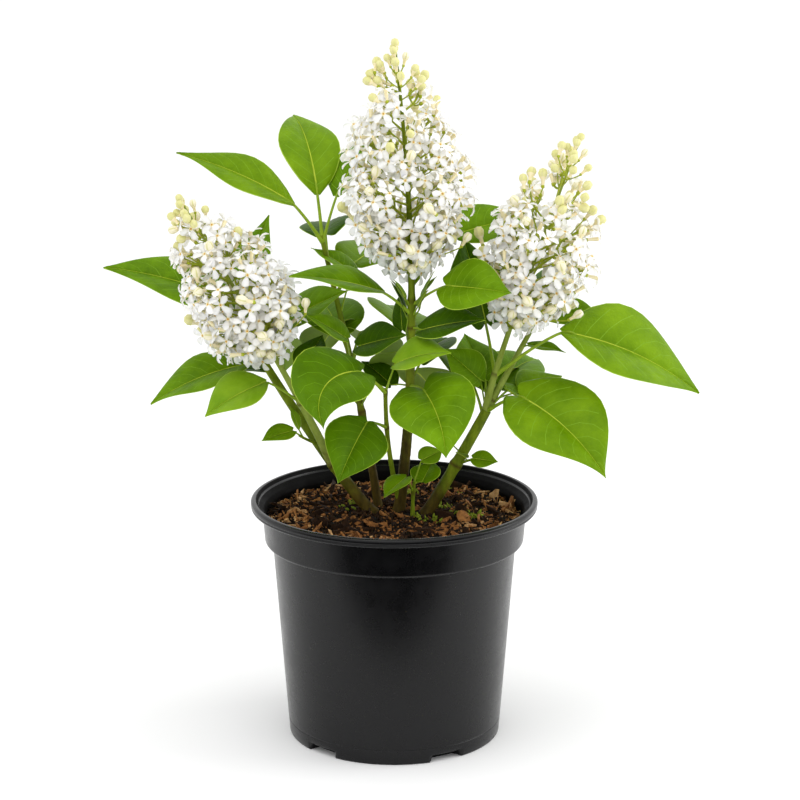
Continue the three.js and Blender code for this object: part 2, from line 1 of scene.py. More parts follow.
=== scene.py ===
"""White lilac in a black nursery pot, dressed and lit for the studio.

Sizes are millimetres in the part's own frame and become metres when a mesh is made.
The stems, leaves and flowers follow the same growth rule as the part's solids, carried finer.
"""

import logging
import math
from collections.abc import Sequence
from dataclasses import dataclass, field, replace
from enum import Enum

import bpy
import numpy as np
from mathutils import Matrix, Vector


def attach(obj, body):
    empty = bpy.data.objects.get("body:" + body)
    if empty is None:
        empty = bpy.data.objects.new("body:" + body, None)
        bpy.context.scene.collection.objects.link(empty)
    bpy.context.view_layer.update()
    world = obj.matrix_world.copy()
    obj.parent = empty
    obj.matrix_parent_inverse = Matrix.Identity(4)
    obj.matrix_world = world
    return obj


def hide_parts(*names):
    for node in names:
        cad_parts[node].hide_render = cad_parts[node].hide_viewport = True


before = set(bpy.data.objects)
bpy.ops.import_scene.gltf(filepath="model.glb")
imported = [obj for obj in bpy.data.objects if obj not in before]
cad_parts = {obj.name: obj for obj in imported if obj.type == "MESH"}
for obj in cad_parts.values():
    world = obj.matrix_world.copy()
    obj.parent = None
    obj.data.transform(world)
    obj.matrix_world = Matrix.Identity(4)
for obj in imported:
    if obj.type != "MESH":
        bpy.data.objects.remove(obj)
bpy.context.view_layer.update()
LOG = logging.getLogger("potted_lilac")
MM = 0.001
BODY = "root"
GOLDEN_ANGLE = 137.5
SHARP = math.radians(65)
CORNER_SHARE = 0.4
Array = np.ndarray


# Small helpers


def linear(colour: str) -> tuple[float, float, float, float]:
    """Turns an sRGB hex value into linear red, green, blue and a full alpha.

    A channel c up to 0.04045 becomes c / 12.92, and a higher one ((c + 0.055) / 1.055) ** 2.4.

    Args:
        colour: the hex value, such as "#6f9a28".

    Returns:
        The four linear channels.
    """
    channels = np.array([int(colour[i:i + 2], 16) for i in (1, 3, 5)]) / 255
    low, high = channels / 12.92, ((channels + 0.055) / 1.055) ** 2.4
    return (*np.where(channels <= 0.04045, low, high).tolist(), 1.0)


def seeded(n: Array | float) -> Array:
    """A repeatable value from 0 to 1: the fraction of 43758.5453 times the sine of 12.9898 n."""
    wave = np.sin(np.asarray(n, float) * 12.9898) * 43758.5453
    return wave - np.floor(wave)


def unit(vectors: Array) -> Array:
    """Vectors scaled to length one along their last axis."""
    return vectors / np.linalg.norm(vectors, axis=-1, keepdims=True)


def direction(heading: Array | float, pitch: Array | float) -> Array:
    """Unit vectors (cos pitch cos heading, cos pitch sin heading, sin pitch).

    Args:
        heading: degrees from +X towards +Y.
        pitch: degrees above level.

    Returns:
        The vectors, with one more axis than the angles.
    """
    turn, lift = np.radians(heading), np.radians(pitch)
    parts = np.cos(lift) * np.cos(turn), np.cos(lift) * np.sin(turn), np.sin(lift) + 0 * turn
    return np.stack(np.broadcast_arrays(*parts), -1)


def side_axis(along: Array) -> Array:
    """The X axis for each unit vector, or the Y axis where the vector lies close to X."""
    return np.where(np.abs(along[..., :1]) < 0.8, [1.0, 0.0, 0.0], [0.0, 1.0, 0.0])


def cross_frame(along: Array, aside: Array) -> tuple[Array, Array]:
    """Two unit vectors square to a direction: direction x aside, then direction x the first."""
    across = unit(np.cross(along, aside))
    return across, np.cross(along, across)


def smooth_path(knots: Array, count: int) -> Array:
    """A curve through a few points.

    Each span is a cubic whose end tangents are half the step between the neighbouring points.

    Args:
        knots: the points, (k, 3).
        count: number of points wanted along the curve.

    Returns:
        The curve's points, (count, 3).
    """
    ends = 2 * knots[[0, -1]] - knots[[1, -2]]
    full = np.concatenate([ends[:1], knots, ends[1:]])
    spot = np.linspace(0, len(knots) - 1, count)
    span = np.minimum(spot.astype(int), len(knots) - 2)
    f = (spot - span)[:, None]
    a, b, c, d = (full[span + step] for step in range(4))
    slope, bow = c - a, 2 * a - 5 * b + 4 * c - d
    return b + 0.5 * f * (slope + f * (bow + f * (3 * b - a - 3 * c + d)))


def grid_faces(rows: int, columns: int) -> Array:
    """Quads between closed rings of points that are numbered ring by ring.

    Args:
        rows: number of rings.
        columns: points in a ring.

    Returns:
        An (m, 4) array of point numbers.
    """
    i, j = np.meshgrid(np.arange(rows - 1), np.arange(columns), indexing="ij")
    after = (j + 1) % columns
    corners = i * columns + j, i * columns + after, (i + 1) * columns + after, (i + 1) * columns + j
    return np.stack(corners, -1).reshape(-1, 4)


def fan_faces(ring: Array, pole: int) -> Array:
    """Triangles from a closed ring of point numbers to a pole, their fourth number being -1."""
    return np.stack([ring, np.roll(ring, -1), np.full_like(ring, pole), np.full_like(ring, -1)], -1)


def closed_faces(rows: int, sides: int) -> Array:
    """Faces of a closed shape of rings, whose two poles are numbered after the rings.

    Args:
        rows: number of rings.
        sides: points in a ring.

    Returns:
        An (m, 4) array of point numbers: the quads, then the triangles of the two ends.
    """
    first = np.arange(sides)
    pole = rows * sides
    ends = fan_faces(first[::-1], pole), fan_faces(first + pole - sides, pole + 1)
    return np.concatenate([grid_faces(rows, sides), *ends])


def copied(faces: Array, size: int, count: int) -> Array:
    """The faces of one shape of so many points, repeated for copies that follow each other."""
    shift = np.arange(count)[:, None, None] * size
    return np.where(faces < 0, -1, faces + shift).reshape(-1, 4)


def tubes(paths: Array, radii: Array, sides: int) -> tuple[Array, Array]:
    """Closed tubes along paths.

    A ring's point is path + radius (cos a across + sin a over), where across and over are square
    to the path, and a pole on the path closes each end.

    Args:
        paths: points of the k paths, (k, n, 3).
        radii: radius at each point, (k, n), or at each point and side, (k, n, sides).
        sides: points in a ring.

    Returns:
        The points and the faces.
    """
    count, rows = paths.shape[:2]
    along = unit(np.gradient(paths, axis=1))
    across, over = cross_frame(along, side_axis(unit(paths[:, -1:] - paths[:, :1])))
    angle = 2 * np.pi * np.arange(sides)[:, None] / sides
    spokes = np.cos(angle) * across[:, :, None] + np.sin(angle) * over[:, :, None]
    reach = radii[..., None] if radii.ndim == 3 else radii[..., None, None]
    rings = (paths[:, :, None] + reach * spokes).reshape(count, -1, 3)
    points = np.concatenate([rings, paths[:, [0, -1]]], 1)
    return points.reshape(-1, 3), copied(closed_faces(rows, sides), points.shape[1], count)


def lathe(profile: Sequence[tuple[float, float]] | Array, sides: int) -> tuple[Array, Array]:
    """A closed turned shape about the Z axis.

    A point is (r cos a, r sin a, z). The first and last profile points lie on the axis.

    Args:
        profile: pairs of radius and height.
        sides: points in a ring.

    Returns:
        The points, ring by ring with the two poles last, and the faces.
    """
    radius, height = np.array(profile, float).T
    angle = 2 * np.pi * np.arange(sides) / sides
    x, y = (np.outer(radius[1:-1], turn(angle)) for turn in (np.cos, np.sin))
    rings = np.stack([x, y, np.broadcast_to(height[1:-1, None], x.shape)], -1).reshape(-1, 3)
    poles = np.array([[0, 0, height[0]], [0, 0, height[-1]]])
    return np.concatenate([rings, poles]), closed_faces(len(radius) - 2, sides)


def rounded(profile: Sequence[tuple[float, float]], reach: float, steps: int = 4) -> Array:
    """A profile with its corners eased.

    Near a corner the line follows the curve (1-f)^2 start + 2 f (1-f) corner + f^2 end, which
    starts and ends the given reach from the corner, or at CORNER_SHARE of a shorter side.

    Args:
        profile: pairs of radius and height.
        reach: how far from a corner the easing starts.
        steps: spans in each eased corner.

    Returns:
        The eased profile, (n, 2).
    """
    line = np.array(profile, float)
    corner, before, after = line[1:-1], line[:-2] - line[1:-1], line[2:] - line[1:-1]
    start, end = (
        corner + side * np.minimum(reach / np.linalg.norm(side, axis=1), CORNER_SHARE)[:, None]
        for side in (before, after)
    )
    f = np.linspace(0, 1, steps + 1)[:, None]
    arcs = (1 - f) ** 2 * start[:, None] + 2 * f * (1 - f) * corner[:, None] + f ** 2 * end[:, None]
    return np.concatenate([line[:1], arcs.reshape(-1, 2), line[-1:]])


def placed(shape: Array, centres: Array, along: Array, twist: Array, sizes: Array) -> Array:
    """Copies of a shape, each turned so that its Z axis lies along a direction.

    A point is centre + x across + y over + z along, each times its size. across and over are
    square to the direction and turned about it by the twist.

    Args:
        shape: the shape's points, (p, 3), or those of each copy, (n, p, 3).
        centres: where the shape's origin goes, (n, 3).
        along: unit directions, (n, 3).
        twist: turns in radians, (n,).
        sizes: scale in x, y and z, (n, 3).

    Returns:
        The points of all copies, (n p, 3).
    """
    across, over = cross_frame(along, side_axis(along))
    turn = twist[:, None]
    axes = np.stack([
        np.cos(turn) * across + np.sin(turn) * over,
        np.cos(turn) * over - np.sin(turn) * across,
        along,
    ], 1)
    local = np.broadcast_to(shape, (len(centres), *shape.shape[-2:])) * sizes[:, None]
    return (centres[:, None] + local @ axes).reshape(-1, 3)


@dataclass
class MeshParts:
    """Gathers points and faces of like things until they become one piece."""

    points: list[Array] = field(default_factory=list)
    faces: list[Array] = field(default_factory=list)
    slots: list[Array] = field(default_factory=list)
    ages: list[Array] = field(default_factory=list)
    count: int = 0

    def add(self, points: Array, faces: Array, slots: Array | int, age: Array | float = 0.0) -> None:
        """Adds a closed shape, turned to face outward.

        Its volume is a sixth of the sum of a . (b x c) over its triangles, and where that is
        negative each face's order is turned round.

        Args:
            points: (n, 3) points.
            faces: (m, 4) point numbers, with -1 as the fourth of a triangle.
            slots: finish number of each face, or of all.
            age: how woody each point is, from 0 to 1.
        """
        middle = points - points.mean(0)
        fourth = np.where(faces[:, 3] < 0, faces[:, 2], faces[:, 3])
        a, b, c, d = (middle[index] for index in (*faces[:, :3].T, fourth))
        volume = np.sum(a * (np.cross(b, c) + np.cross(c, d)))
        if volume < 0:
            triangle = faces[:, 3:] < 0
            turned = np.concatenate([faces[:, 2::-1], faces[:, 3:]], 1)
            faces = np.where(triangle, turned, faces[:, ::-1])
        self.points.append(points)
        self.faces.append(np.where(faces < 0, -1, faces + self.count))
        self.slots.append(np.broadcast_to(slots, len(faces)))
        self.ages.append(np.broadcast_to(age, len(points)))
        self.count += len(points)

    def piece(
        self,
        name: str,
        finishes: Sequence["Finish"],
        slot: str,
        nodes: Sequence[str] = (),
        flat: Sequence[int] = (),
    ) -> None:
        """Makes the gathered shapes one object that rides on the part's body.

        Args:
            name: the piece's name.
            finishes: finishes in the order of the slot numbers.
            slot: the record's material slot, which is not used.
            nodes: solids that the piece stands for.
            flat: numbers of the finishes whose faces are shaded flat.
        """
        points, faces = np.concatenate(self.points) * MM, np.concatenate(self.faces)
        used = faces >= 0
        corners = used.sum(1)
        mesh = bpy.data.meshes.new(name)
        mesh.vertices.add(len(points))
        mesh.vertices.foreach_set("co", points.astype(np.float32).ravel())
        mesh.loops.add(int(corners.sum()))
        mesh.polygons.add(len(faces))
        mesh.polygons.foreach_set("loop_start", (np.cumsum(corners) - corners).astype(np.int32))
        mesh.polygons.foreach_set("vertices", faces[used].astype(np.int32))
        slots = np.concatenate(self.slots).astype(np.int32)
        mesh.polygons.foreach_set("material_index", slots)
        mesh.polygons.foreach_set("use_smooth", ~np.isin(slots, list(flat)))
        age = mesh.attributes.new("age", "FLOAT", "POINT")
        age.data.foreach_set("value", np.concatenate(self.ages).astype(np.float32))
        for finish in finishes:
            mesh.materials.append(finish.material())
        mesh.update(calc_edges=True)
        mesh.validate()
        mesh.set_sharp_from_angle(angle=SHARP)
        thing = bpy.data.objects.new(name, mesh)
        bpy.context.scene.collection.objects.link(thing)
        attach(thing, BODY)
        if nodes:
            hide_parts(*nodes)
        LOG.info("%s: %d faces", name, len(mesh.polygons))


# Finishes


def add_node(
    tree: bpy.types.NodeTree,
    kind: str,
    settings: dict[str | int, object] | None = None,
    links: dict[str | int, bpy.types.NodeSocket] | None = None,
) -> bpy.types.Node:
    """Adds a node with its settings and links.

    Args:
        tree: the material's or world's node tree.
        kind: the node's type.
        settings: values of its properties, or of its inputs by name or number.
        links: sockets that feed its inputs, by name or number.

    Returns:
        The node.
    """
    node = tree.nodes.new(kind)
    for name, value in (settings or {}).items():
        if isinstance(name, str) and hasattr(node, name):
            setattr(node, name, value)
        else:
            node.inputs[name].default_value = value
    for name, socket in (links or {}).items():
        tree.links.new(socket, node.inputs[name])
    return node


# What all finishes share: how a patch is broken up, the span of its noise that counts, and how a
# waxy, woody or plastic skin bends light and lets it through.
PATCH_NOISE = {"Detail": 5.0, "Roughness": 0.6}
PATCH_SPAN = {"From Min": 0.32, "From Max": 0.68}
SKIN = {"IOR": 1.45, "Subsurface Radius": (1.0, 0.95, 0.85), "Subsurface Scale": 1 * MM}


class Relief(Enum):
    """How a finish's fine relief is laid over the surface."""

    CLOUD = "soft uneven swells"
    NET = "a net of fine creases"
    GRAIN = "close round grains"


@dataclass(frozen=True)
class Finish:
    """One real surface: two colours that blend in patches, its gloss and its fine relief.

    patch, grain and depth are sizes in millimetres, stretch scales the pattern along each axis,
    woody gives the colours of its bark, and soft is the share of light that passes through it.
    """

    name: str
    colours: tuple[str, str]
    patch: float
    relief: Relief
    grain: float
    depth: float
    roughness: tuple[float, float]
    gloss: float = 0.5
    stretch: tuple[float, float, float] = (1.0, 1.0, 1.0)
    woody: tuple[str, str] | None = None
    soft: float = 0.0

    def material(self) -> bpy.types.Material:
        """The finish's material, made once."""
        return bpy.data.materials.get(self.name) or self.build()

    def build(self) -> bpy.types.Material:
        """Makes the material's nodes.

        Noise of the patch's size blends the two colours and sets the roughness between its two
        values. The relief's texture drives a bump of the given depth. Where the finish turns
        woody, the mesh's age attribute carries the colours over to the woody pair.

        Returns:
            The new material.
        """
        material = bpy.data.materials.new(self.name)
        material.use_nodes = True
        tree = material.node_tree
        tree.nodes.clear()
        place = add_node(tree, "ShaderNodeTexCoord")
        spot = add_node(
            tree, "ShaderNodeMapping", {"Scale": self.stretch}, {"Vector": place.outputs["Object"]}
        )
        cloud = add_node(
            tree,
            "ShaderNodeTexNoise",
            {"Scale": 1 / (self.patch * MM), **PATCH_NOISE},
            {"Vector": spot.outputs[0]},
        )
        share = add_node(tree, "ShaderNodeMapRange", PATCH_SPAN, {"Value": cloud.outputs[0]})
        colour = self.blend(tree, share.outputs[0], *self.colours)
        if self.woody:
            age = add_node(tree, "ShaderNodeAttribute", {"attribute_name": "age"})
            bark = self.blend(tree, share.outputs[0], *self.woody)
            mixed = add_node(
                tree,
                "ShaderNodeMix",
                {"data_type": "RGBA"},
                {0: age.outputs["Fac"], 6: colour, 7: bark},
            )
            colour = mixed.outputs[2]
        rough = add_node(
            tree,
            "ShaderNodeMapRange",
            {"To Min": self.roughness[0], "To Max": self.roughness[1]},
            {"Value": share.outputs[0]},
        )
        scale = {"Scale": 1 / (self.grain * MM)}
        if self.relief is Relief.CLOUD:
            fine = add_node(tree, "ShaderNodeTexNoise", scale, {"Vector": spot.outputs[0]})
        else:
            feature = "DISTANCE_TO_EDGE" if self.relief is Relief.NET else "F1"
            settings = {"feature": feature, **scale}
            fine = add_node(tree, "ShaderNodeTexVoronoi", settings, {"Vector": spot.outputs[0]})
        bump = add_node(
            tree, "ShaderNodeBump", {"Distance": self.depth * MM}, {"Height": fine.outputs[0]}
        )
        shader = add_node(
            tree,
            "ShaderNodeBsdfPrincipled",
            {"Specular IOR Level": self.gloss, "Subsurface Weight": self.soft, **SKIN},
            {"Base Color": colour, "Roughness": rough.outputs[0], "Normal": bump.outputs[0]},
        )
        add_node(tree, "ShaderNodeOutputMaterial", None, {"Surface": shader.outputs[0]})
        return material

    @staticmethod
    def blend(
        tree: bpy.types.NodeTree, share: bpy.types.NodeSocket, first: str, second: str
    ) -> bpy.types.NodeSocket:
        """Mixes two sRGB colours by a share.

        Args:
            tree: the material's node tree.
            share: socket with the share of the second colour.
            first: hex value at share 0.
            second: hex value at share 1.

        Returns:
            The mixed colour's socket.
        """
        settings = {"data_type": "RGBA", 6: linear(first), 7: linear(second)}
        return add_node(tree, "ShaderNodeMix", settings, {0: share}).outputs[2]


# Polypropylene, injection moulded with a satin skin: nearly black face on, paler at a glance. Its
# fine texture is drawn 0.9 mm wide, coarser than life, so that it shows.
SATIN_PLASTIC = Finish(
    "satin_polypropylene", ("#050506", "#08080a"), 14, Relief.CLOUD, 0.9, 0.02, (0.24, 0.32), 0.36
)
# The same plastic inside the pot, with a duller, less glossy skin: painted shade inside the pot.
SHADED_INSIDE_PLASTIC = Finish(
    "dusty_polypropylene", ("#040404", "#090807"), 9, Relief.CLOUD, 0.9, 0.02, (0.5, 0.65), 0.08
)
# Moist peat and bark compost: dull, dark and crumbly.
COMPOST = Finish("bark_compost", ("#060402", "#150d07"), 5, Relief.GRAIN, 1.8, 0.9, (0.85, 1.0), 0.2)
# Shredded pine bark: torn fibre, from wet umber to dry tan.
BARK_UMBER = Finish("wet_bark_shred", ("#150b05", "#3a2411"), 3, Relief.CLOUD, 0.8, 0.3, (0.8, 1.0), 0.25)
BARK_RUST = Finish("red_bark_shred", ("#67401f", "#aa733e"), 3, Relief.CLOUD, 0.8, 0.3, (0.75, 0.95), 0.25)
BARK_TAN = Finish("dry_bark_chip", ("#a27444", "#dab07c"), 3, Relief.CLOUD, 0.8, 0.3, (0.75, 0.95), 0.25)
# Moss and seedling leaves: soft, yellow-green.
MOSS = Finish("moss", ("#68790e", "#93a030"), 3, Relief.GRAIN, 0.8, 0.2, (0.7, 0.9), 0.3)
# Lilac shoot: smooth olive-green skin that turns to thin grey-brown bark with age.
SHOOT = Finish(
    "lilac_bark",
    ("#526408", "#7c8e1e"),
    7,
    Relief.CLOUD,
    0.9,
    0.25,
    (0.5, 0.7),
    0.12,
    (1.0, 1.0, 0.35),
    ("#2e2409", "#5a4a16"),
)
# Young bough: smooth pale green skin, with a brown ring at its nodes.
YOUNG_SHOOT = replace(
    SHOOT,
    name="young_lilac_bark",
    colours=("#76882a", "#98a84c"),
    depth=0.12,
    roughness=(0.5, 0.65),
    gloss=0.2,
)
# Leaf stalks and flower branches: smooth green skin.
STALK = Finish("leaf_stalk", ("#789618", "#94ae2e"), 9, Relief.CLOUD, 0.8, 0.08, (0.4, 0.55), 0.2)
FLOWER_BRANCH = Finish("flower_branch", ("#849410", "#a8b42a"), 5, Relief.CLOUD, 0.8, 0.1, (0.45, 0.6), 0.4)
# Lilac leaf: thin waxy skin with a net of fine creases, from deep green in the shade to the fresh
# green of young leaves, duller and greyer below. The deep and dark tones are painted shade for
# leaves in the shade. The net's meshes are about 3 mm wide, wider than in life, so that they show.
LEAF_DEEP = Finish("leaf_in_shade", ("#305000", "#426400"), 24, Relief.NET, 3.2, 0.3, (0.38, 0.5), 0.08)
LEAF_DARK = replace(LEAF_DEEP, name="leaf_full", colours=("#446600", "#577e02"), patch=26)
LEAF_MID = replace(LEAF_DARK, name="leaf_grown", colours=("#4e7200", "#70980a"))
LEAF_FRESH = replace(LEAF_MID, name="leaf_fresh", colours=("#587c00", "#769a0c"), grain=3.0, gloss=0.09)
LEAF_YOUNG = Finish("leaf_young", ("#6a920a", "#82a61c"), 18, Relief.NET, 2.4, 0.1, (0.4, 0.52), 0.12)
LEAF_UNDER = Finish("leaf_underside", ("#728f30", "#819c3e"), 22, Relief.NET, 3.2, 0.15, (0.6, 0.75), 0.12)
# Midrib, side veins and edge: smooth and paler than the blade. The pale edge is partly the
# margin's own colour and partly a painted rim highlight.
LEAF_RIB = Finish("leaf_midrib", ("#a9bc30", "#bfce4a"), 9, Relief.CLOUD, 0.8, 0.05, (0.4, 0.55), 0.15)
LEAF_EDGE = replace(LEAF_RIB, name="leaf_edge", colours=("#93b22c", "#a8c244"))
LEAF_VEIN = replace(LEAF_RIB, name="leaf_vein", colours=("#5f880e", "#70981c"), gloss=0.12)
LEAF_PALE_VEIN = replace(LEAF_VEIN, name="leaf_pale_vein", colours=("#6e9818", "#80a62a"))
# Lilac flower: matt white petals that light passes through, cream tube, amber eye and green cup.
PETAL = Finish(
    "white_petal", ("#fefdfd", "#fbfaf8"), 7, Relief.CLOUD, 1.2, 0.08, (0.5, 0.65), 0.3, soft=0.8
)
PETAL_WARM = replace(PETAL, name="warm_petal", colours=("#fdfaf4", "#f8f3e9"))
FLOWER_TUBE = replace(
    PETAL, name="flower_tube", colours=("#f2e8c8", "#e8deb0"), patch=6, grain=1.0, depth=0.05
)
FLOWER_EYE = Finish("flower_eye", ("#b98a2c", "#d3a548"), 2, Relief.CLOUD, 0.6, 0.05, (0.6, 0.7), 0.3)
FLOWER_CUP = Finish("flower_cup", ("#9aa61c", "#b4be38"), 3, Relief.CLOUD, 0.8, 0.05, (0.5, 0.6), 0.3)
# Flower bud: smooth cream skin, greener near the top of a head, with faint seams between its petals.
BUD_CREAM = Finish("cream_bud", ("#f2ecd4", "#e9e2c0"), 4, Relief.CLOUD, 1.0, 0.06, (0.45, 0.6), 0.35)
BUD_GREEN = replace(BUD_CREAM, name="green_bud", colours=("#e4e0a4", "#d5d388"))
BUD_FURROW = replace(
    BUD_CREAM, name="bud_furrow", colours=("#dedaa4", "#d0cc8e"), roughness=(0.5, 0.65), gloss=0.3
)
# Black card, which only the pot's sheen shows, where it is a painted dark reflection, and white paper floor:
# both matt.
DARK_CARD = Finish("black_card", ("#050505", "#080808"), 400, Relief.CLOUD, 2.0, 0.01, (0.9, 1.0), 0.0)
PAPER = Finish("white_paper", ("#f8f8f8", "#fafafa"), 400, Relief.CLOUD, 2.0, 0.01, (0.85, 0.9), 0.1)


# Studio


@dataclass(frozen=True)
class Softbox:
    """A square soft light: place, aim and size in metres, power in watts."""

    name: str
    place: tuple[float, float, float]
    aim: tuple[float, float, float]
    size: float
    power: float


@dataclass(frozen=True)
class Studio:
    """Pale floor, soft white light and the camera.

    A black card lies before the pot, where only its sheen shows it as a painted dark reflection,
    from card_reach's first place to its second.
    """

    floor_side: float = 12.0
    card_reach: tuple[float, float] = (-3.0, -0.215)
    card_height: float = 0.0005
    sky: float = 1.1
    camera_place: tuple[float, float, float] = (0.004, -1.792, 0.702)
    camera_pitch: float = 14.43
    lens: float = 120.0
    sensor: float = 36.0
    lights: tuple[Softbox, ...] = (
        Softbox("top_softbox", (-0.25, -0.5, 1.9), (0.0, 0.0, 0.3), 1.3, 6.0),
        Softbox("left_softbox", (-1.7, 0.1, 0.9), (0.0, 0.0, 0.25), 1.2, 1.0),
        Softbox("right_softbox", (1.7, 0.1, 0.9), (0.0, 0.0, 0.25), 1.2, 12.0),
    )

    def build(self) -> None:
        """Makes floor, light and camera."""
        self.sheet("floor", (-self.floor_side, self.floor_side), 0.0, PAPER)
        card = self.sheet("dark_card", self.card_reach, self.card_height, DARK_CARD)
        # Hidden from camera, diffuse light and shadows, the card is only a painted dark reflection.
        card.visible_camera = False
        card.visible_diffuse = False
        card.visible_shadow = False
        scene = bpy.context.scene
        world = bpy.data.worlds.new("studio_white")
        world.use_nodes = True
        world.node_tree.nodes.clear()
        white = add_node(
            world.node_tree, "ShaderNodeBackground", {"Color": (1.0, 1.0, 1.0, 1.0), "Strength": self.sky}
        )
        add_node(world.node_tree, "ShaderNodeOutputWorld", None, {"Surface": white.outputs[0]})
        scene.world = world
        scene.view_settings.view_transform = "Standard"
        for box in self.lights:
            self.softbox(box)
        camera = bpy.data.objects.new("camera", bpy.data.cameras.new("camera"))
        camera.data.lens = self.lens
        camera.data.sensor_width = self.sensor
        camera.location = self.camera_place
        camera.rotation_euler = (math.radians(90 - self.camera_pitch), 0.0, 0.0)
        scene.collection.objects.link(camera)
        scene.camera = camera

    def sheet(self, name: str, reach: tuple[float, float], height: float, finish: Finish) -> bpy.types.Object:
        """Lays a sheet on the ground.

        Args:
            name: its name.
            reach: where it starts and ends, front to back, in metres.
            height: how high it lies.
            finish: its finish.

        Returns:
            The sheet.
        """
        side = self.floor_side
        corners = [(-side, reach[0]), (side, reach[0]), (side, reach[1]), (-side, reach[1])]
        mesh = bpy.data.meshes.new(name)
        mesh.from_pydata([(x, y, height) for x, y in corners], [], [[0, 1, 2, 3]])
        mesh.materials.append(finish.material())
        thing = bpy.data.objects.new(name, mesh)
        bpy.context.scene.collection.objects.link(thing)
        return thing

    @staticmethod
    def softbox(box: Softbox) -> None:
        """Hangs one soft light, turned to its aim.

        Args:
            box: the light.
        """
        light = bpy.data.lights.new(box.name, "AREA")
        light.size = box.size
        light.energy = box.power
        lamp = bpy.data.objects.new(box.name, light)
        lamp.location = box.place
        lamp.rotation_euler = (Vector(box.aim) - Vector(box.place)).to_track_quat("-Z", "Y").to_euler()
        bpy.context.scene.collection.objects.link(lamp)


# Pot and compost


@dataclass(frozen=True)
class Pot:
    """Tapered pot with a straight collar, a rolled lip and drain notches in its foot.

    foot, notched_foot and wall are profiles of radius and height, wall running up the outside and
    down the inside. mid_wall gives the radius between the two at a few heights, and ease is how
    far from a corner of the wall its rounding starts.
    """

    columns: int = 240
    notch_count: int = 5
    notch_width: float = 22.0
    notch_turn: float = -132.6
    foot: tuple[tuple[float, float], ...] = (
        (58, 0), (65.6, 0), (70, 0), (73, 0), (74.2, 0.25), (74.6, 0.9), (74.9, 5.2), (75, 6.2),
    )
    notched_foot: tuple[tuple[float, float], ...] = (
        (58, 0), (65.6, 0), (65.6, 2.2), (65.7, 4.6), (66.3, 5.4), (72, 5.5), (74.5, 5.5), (75, 6.2),
    )
    wall: tuple[tuple[float, float], ...] = (
        (75, 6.2), (75.3, 10.2), (74.9, 10.6), (75.4, 11), (85.3, 139.6), (89.4, 140.2), (90.7, 141.6),
        (92.5, 163.6), (99.2, 164.2), (100.3, 165.6), (99.8, 166.5), (100.5, 167.6), (100.3, 169.6),
        (98.8, 170.5), (96.6, 170.4), (95.3, 167.2), (91.2, 163.8), (90, 160), (89, 144.2), (88.4, 142.8),
        (83.2, 140.6), (72.9, 12), (72, 9), (60, 9), (58, 3), (1, 3),
    )
    mid_wall: tuple[tuple[float, float], ...] = (
        (6, 0), (9, 74), (138, 84.2), (143, 89.8), (163, 91.3), (170, 97.2),
    )
    ease: float = 0.8

    def build(self) -> None:
        """Turns the pot's profile about Z.

        A point is (r cos a, r sin a, z). In the columns that lie in a drain notch, the foot's
        part of the profile is the notched one. Faces nearer the axis than the middle of the wall
        are its inside, which takes a duller finish as painted shade.
        """
        wall = rounded(self.wall, self.ease)[1:]
        plain, notched = (
            np.concatenate([np.array(foot, float), wall]) for foot in (self.foot, self.notched_foot)
        )
        angle = 2 * np.pi * np.arange(self.columns) / self.columns
        pitch = 2 * np.pi / self.notch_count
        offset = np.mod(angle - math.radians(self.notch_turn) + pitch / 2, pitch) - pitch / 2
        cut = np.abs(offset) < 0.5 * self.notch_width / self.wall[0][0]
        section = np.where(cut[None, :, None], notched[:, None], plain[:, None])
        turned = section[..., 0] * np.cos(angle), section[..., 0] * np.sin(angle), section[..., 1]
        rings = np.stack(turned, -1).reshape(-1, 3)
        poles = np.array([[0, 0, plain[0, 1]], [0, 0, plain[-1, 1]]])
        points = np.concatenate([rings, poles])
        faces = closed_faces(len(plain), self.columns)
        parts = MeshParts()
        middle = points[faces[:, :3]].mean(1)
        skin = np.interp(middle[:, 2], *np.array(self.mid_wall).T)
        # Faces inside the pot take the duller second finish: painted shade.
        parts.add(points, faces, (np.hypot(middle[:, 0], middle[:, 1]) < skin).astype(int))
        parts.piece("pot_shell", [SATIN_PLASTIC, SHADED_INSIDE_PLASTIC], "pot", ["pot"])


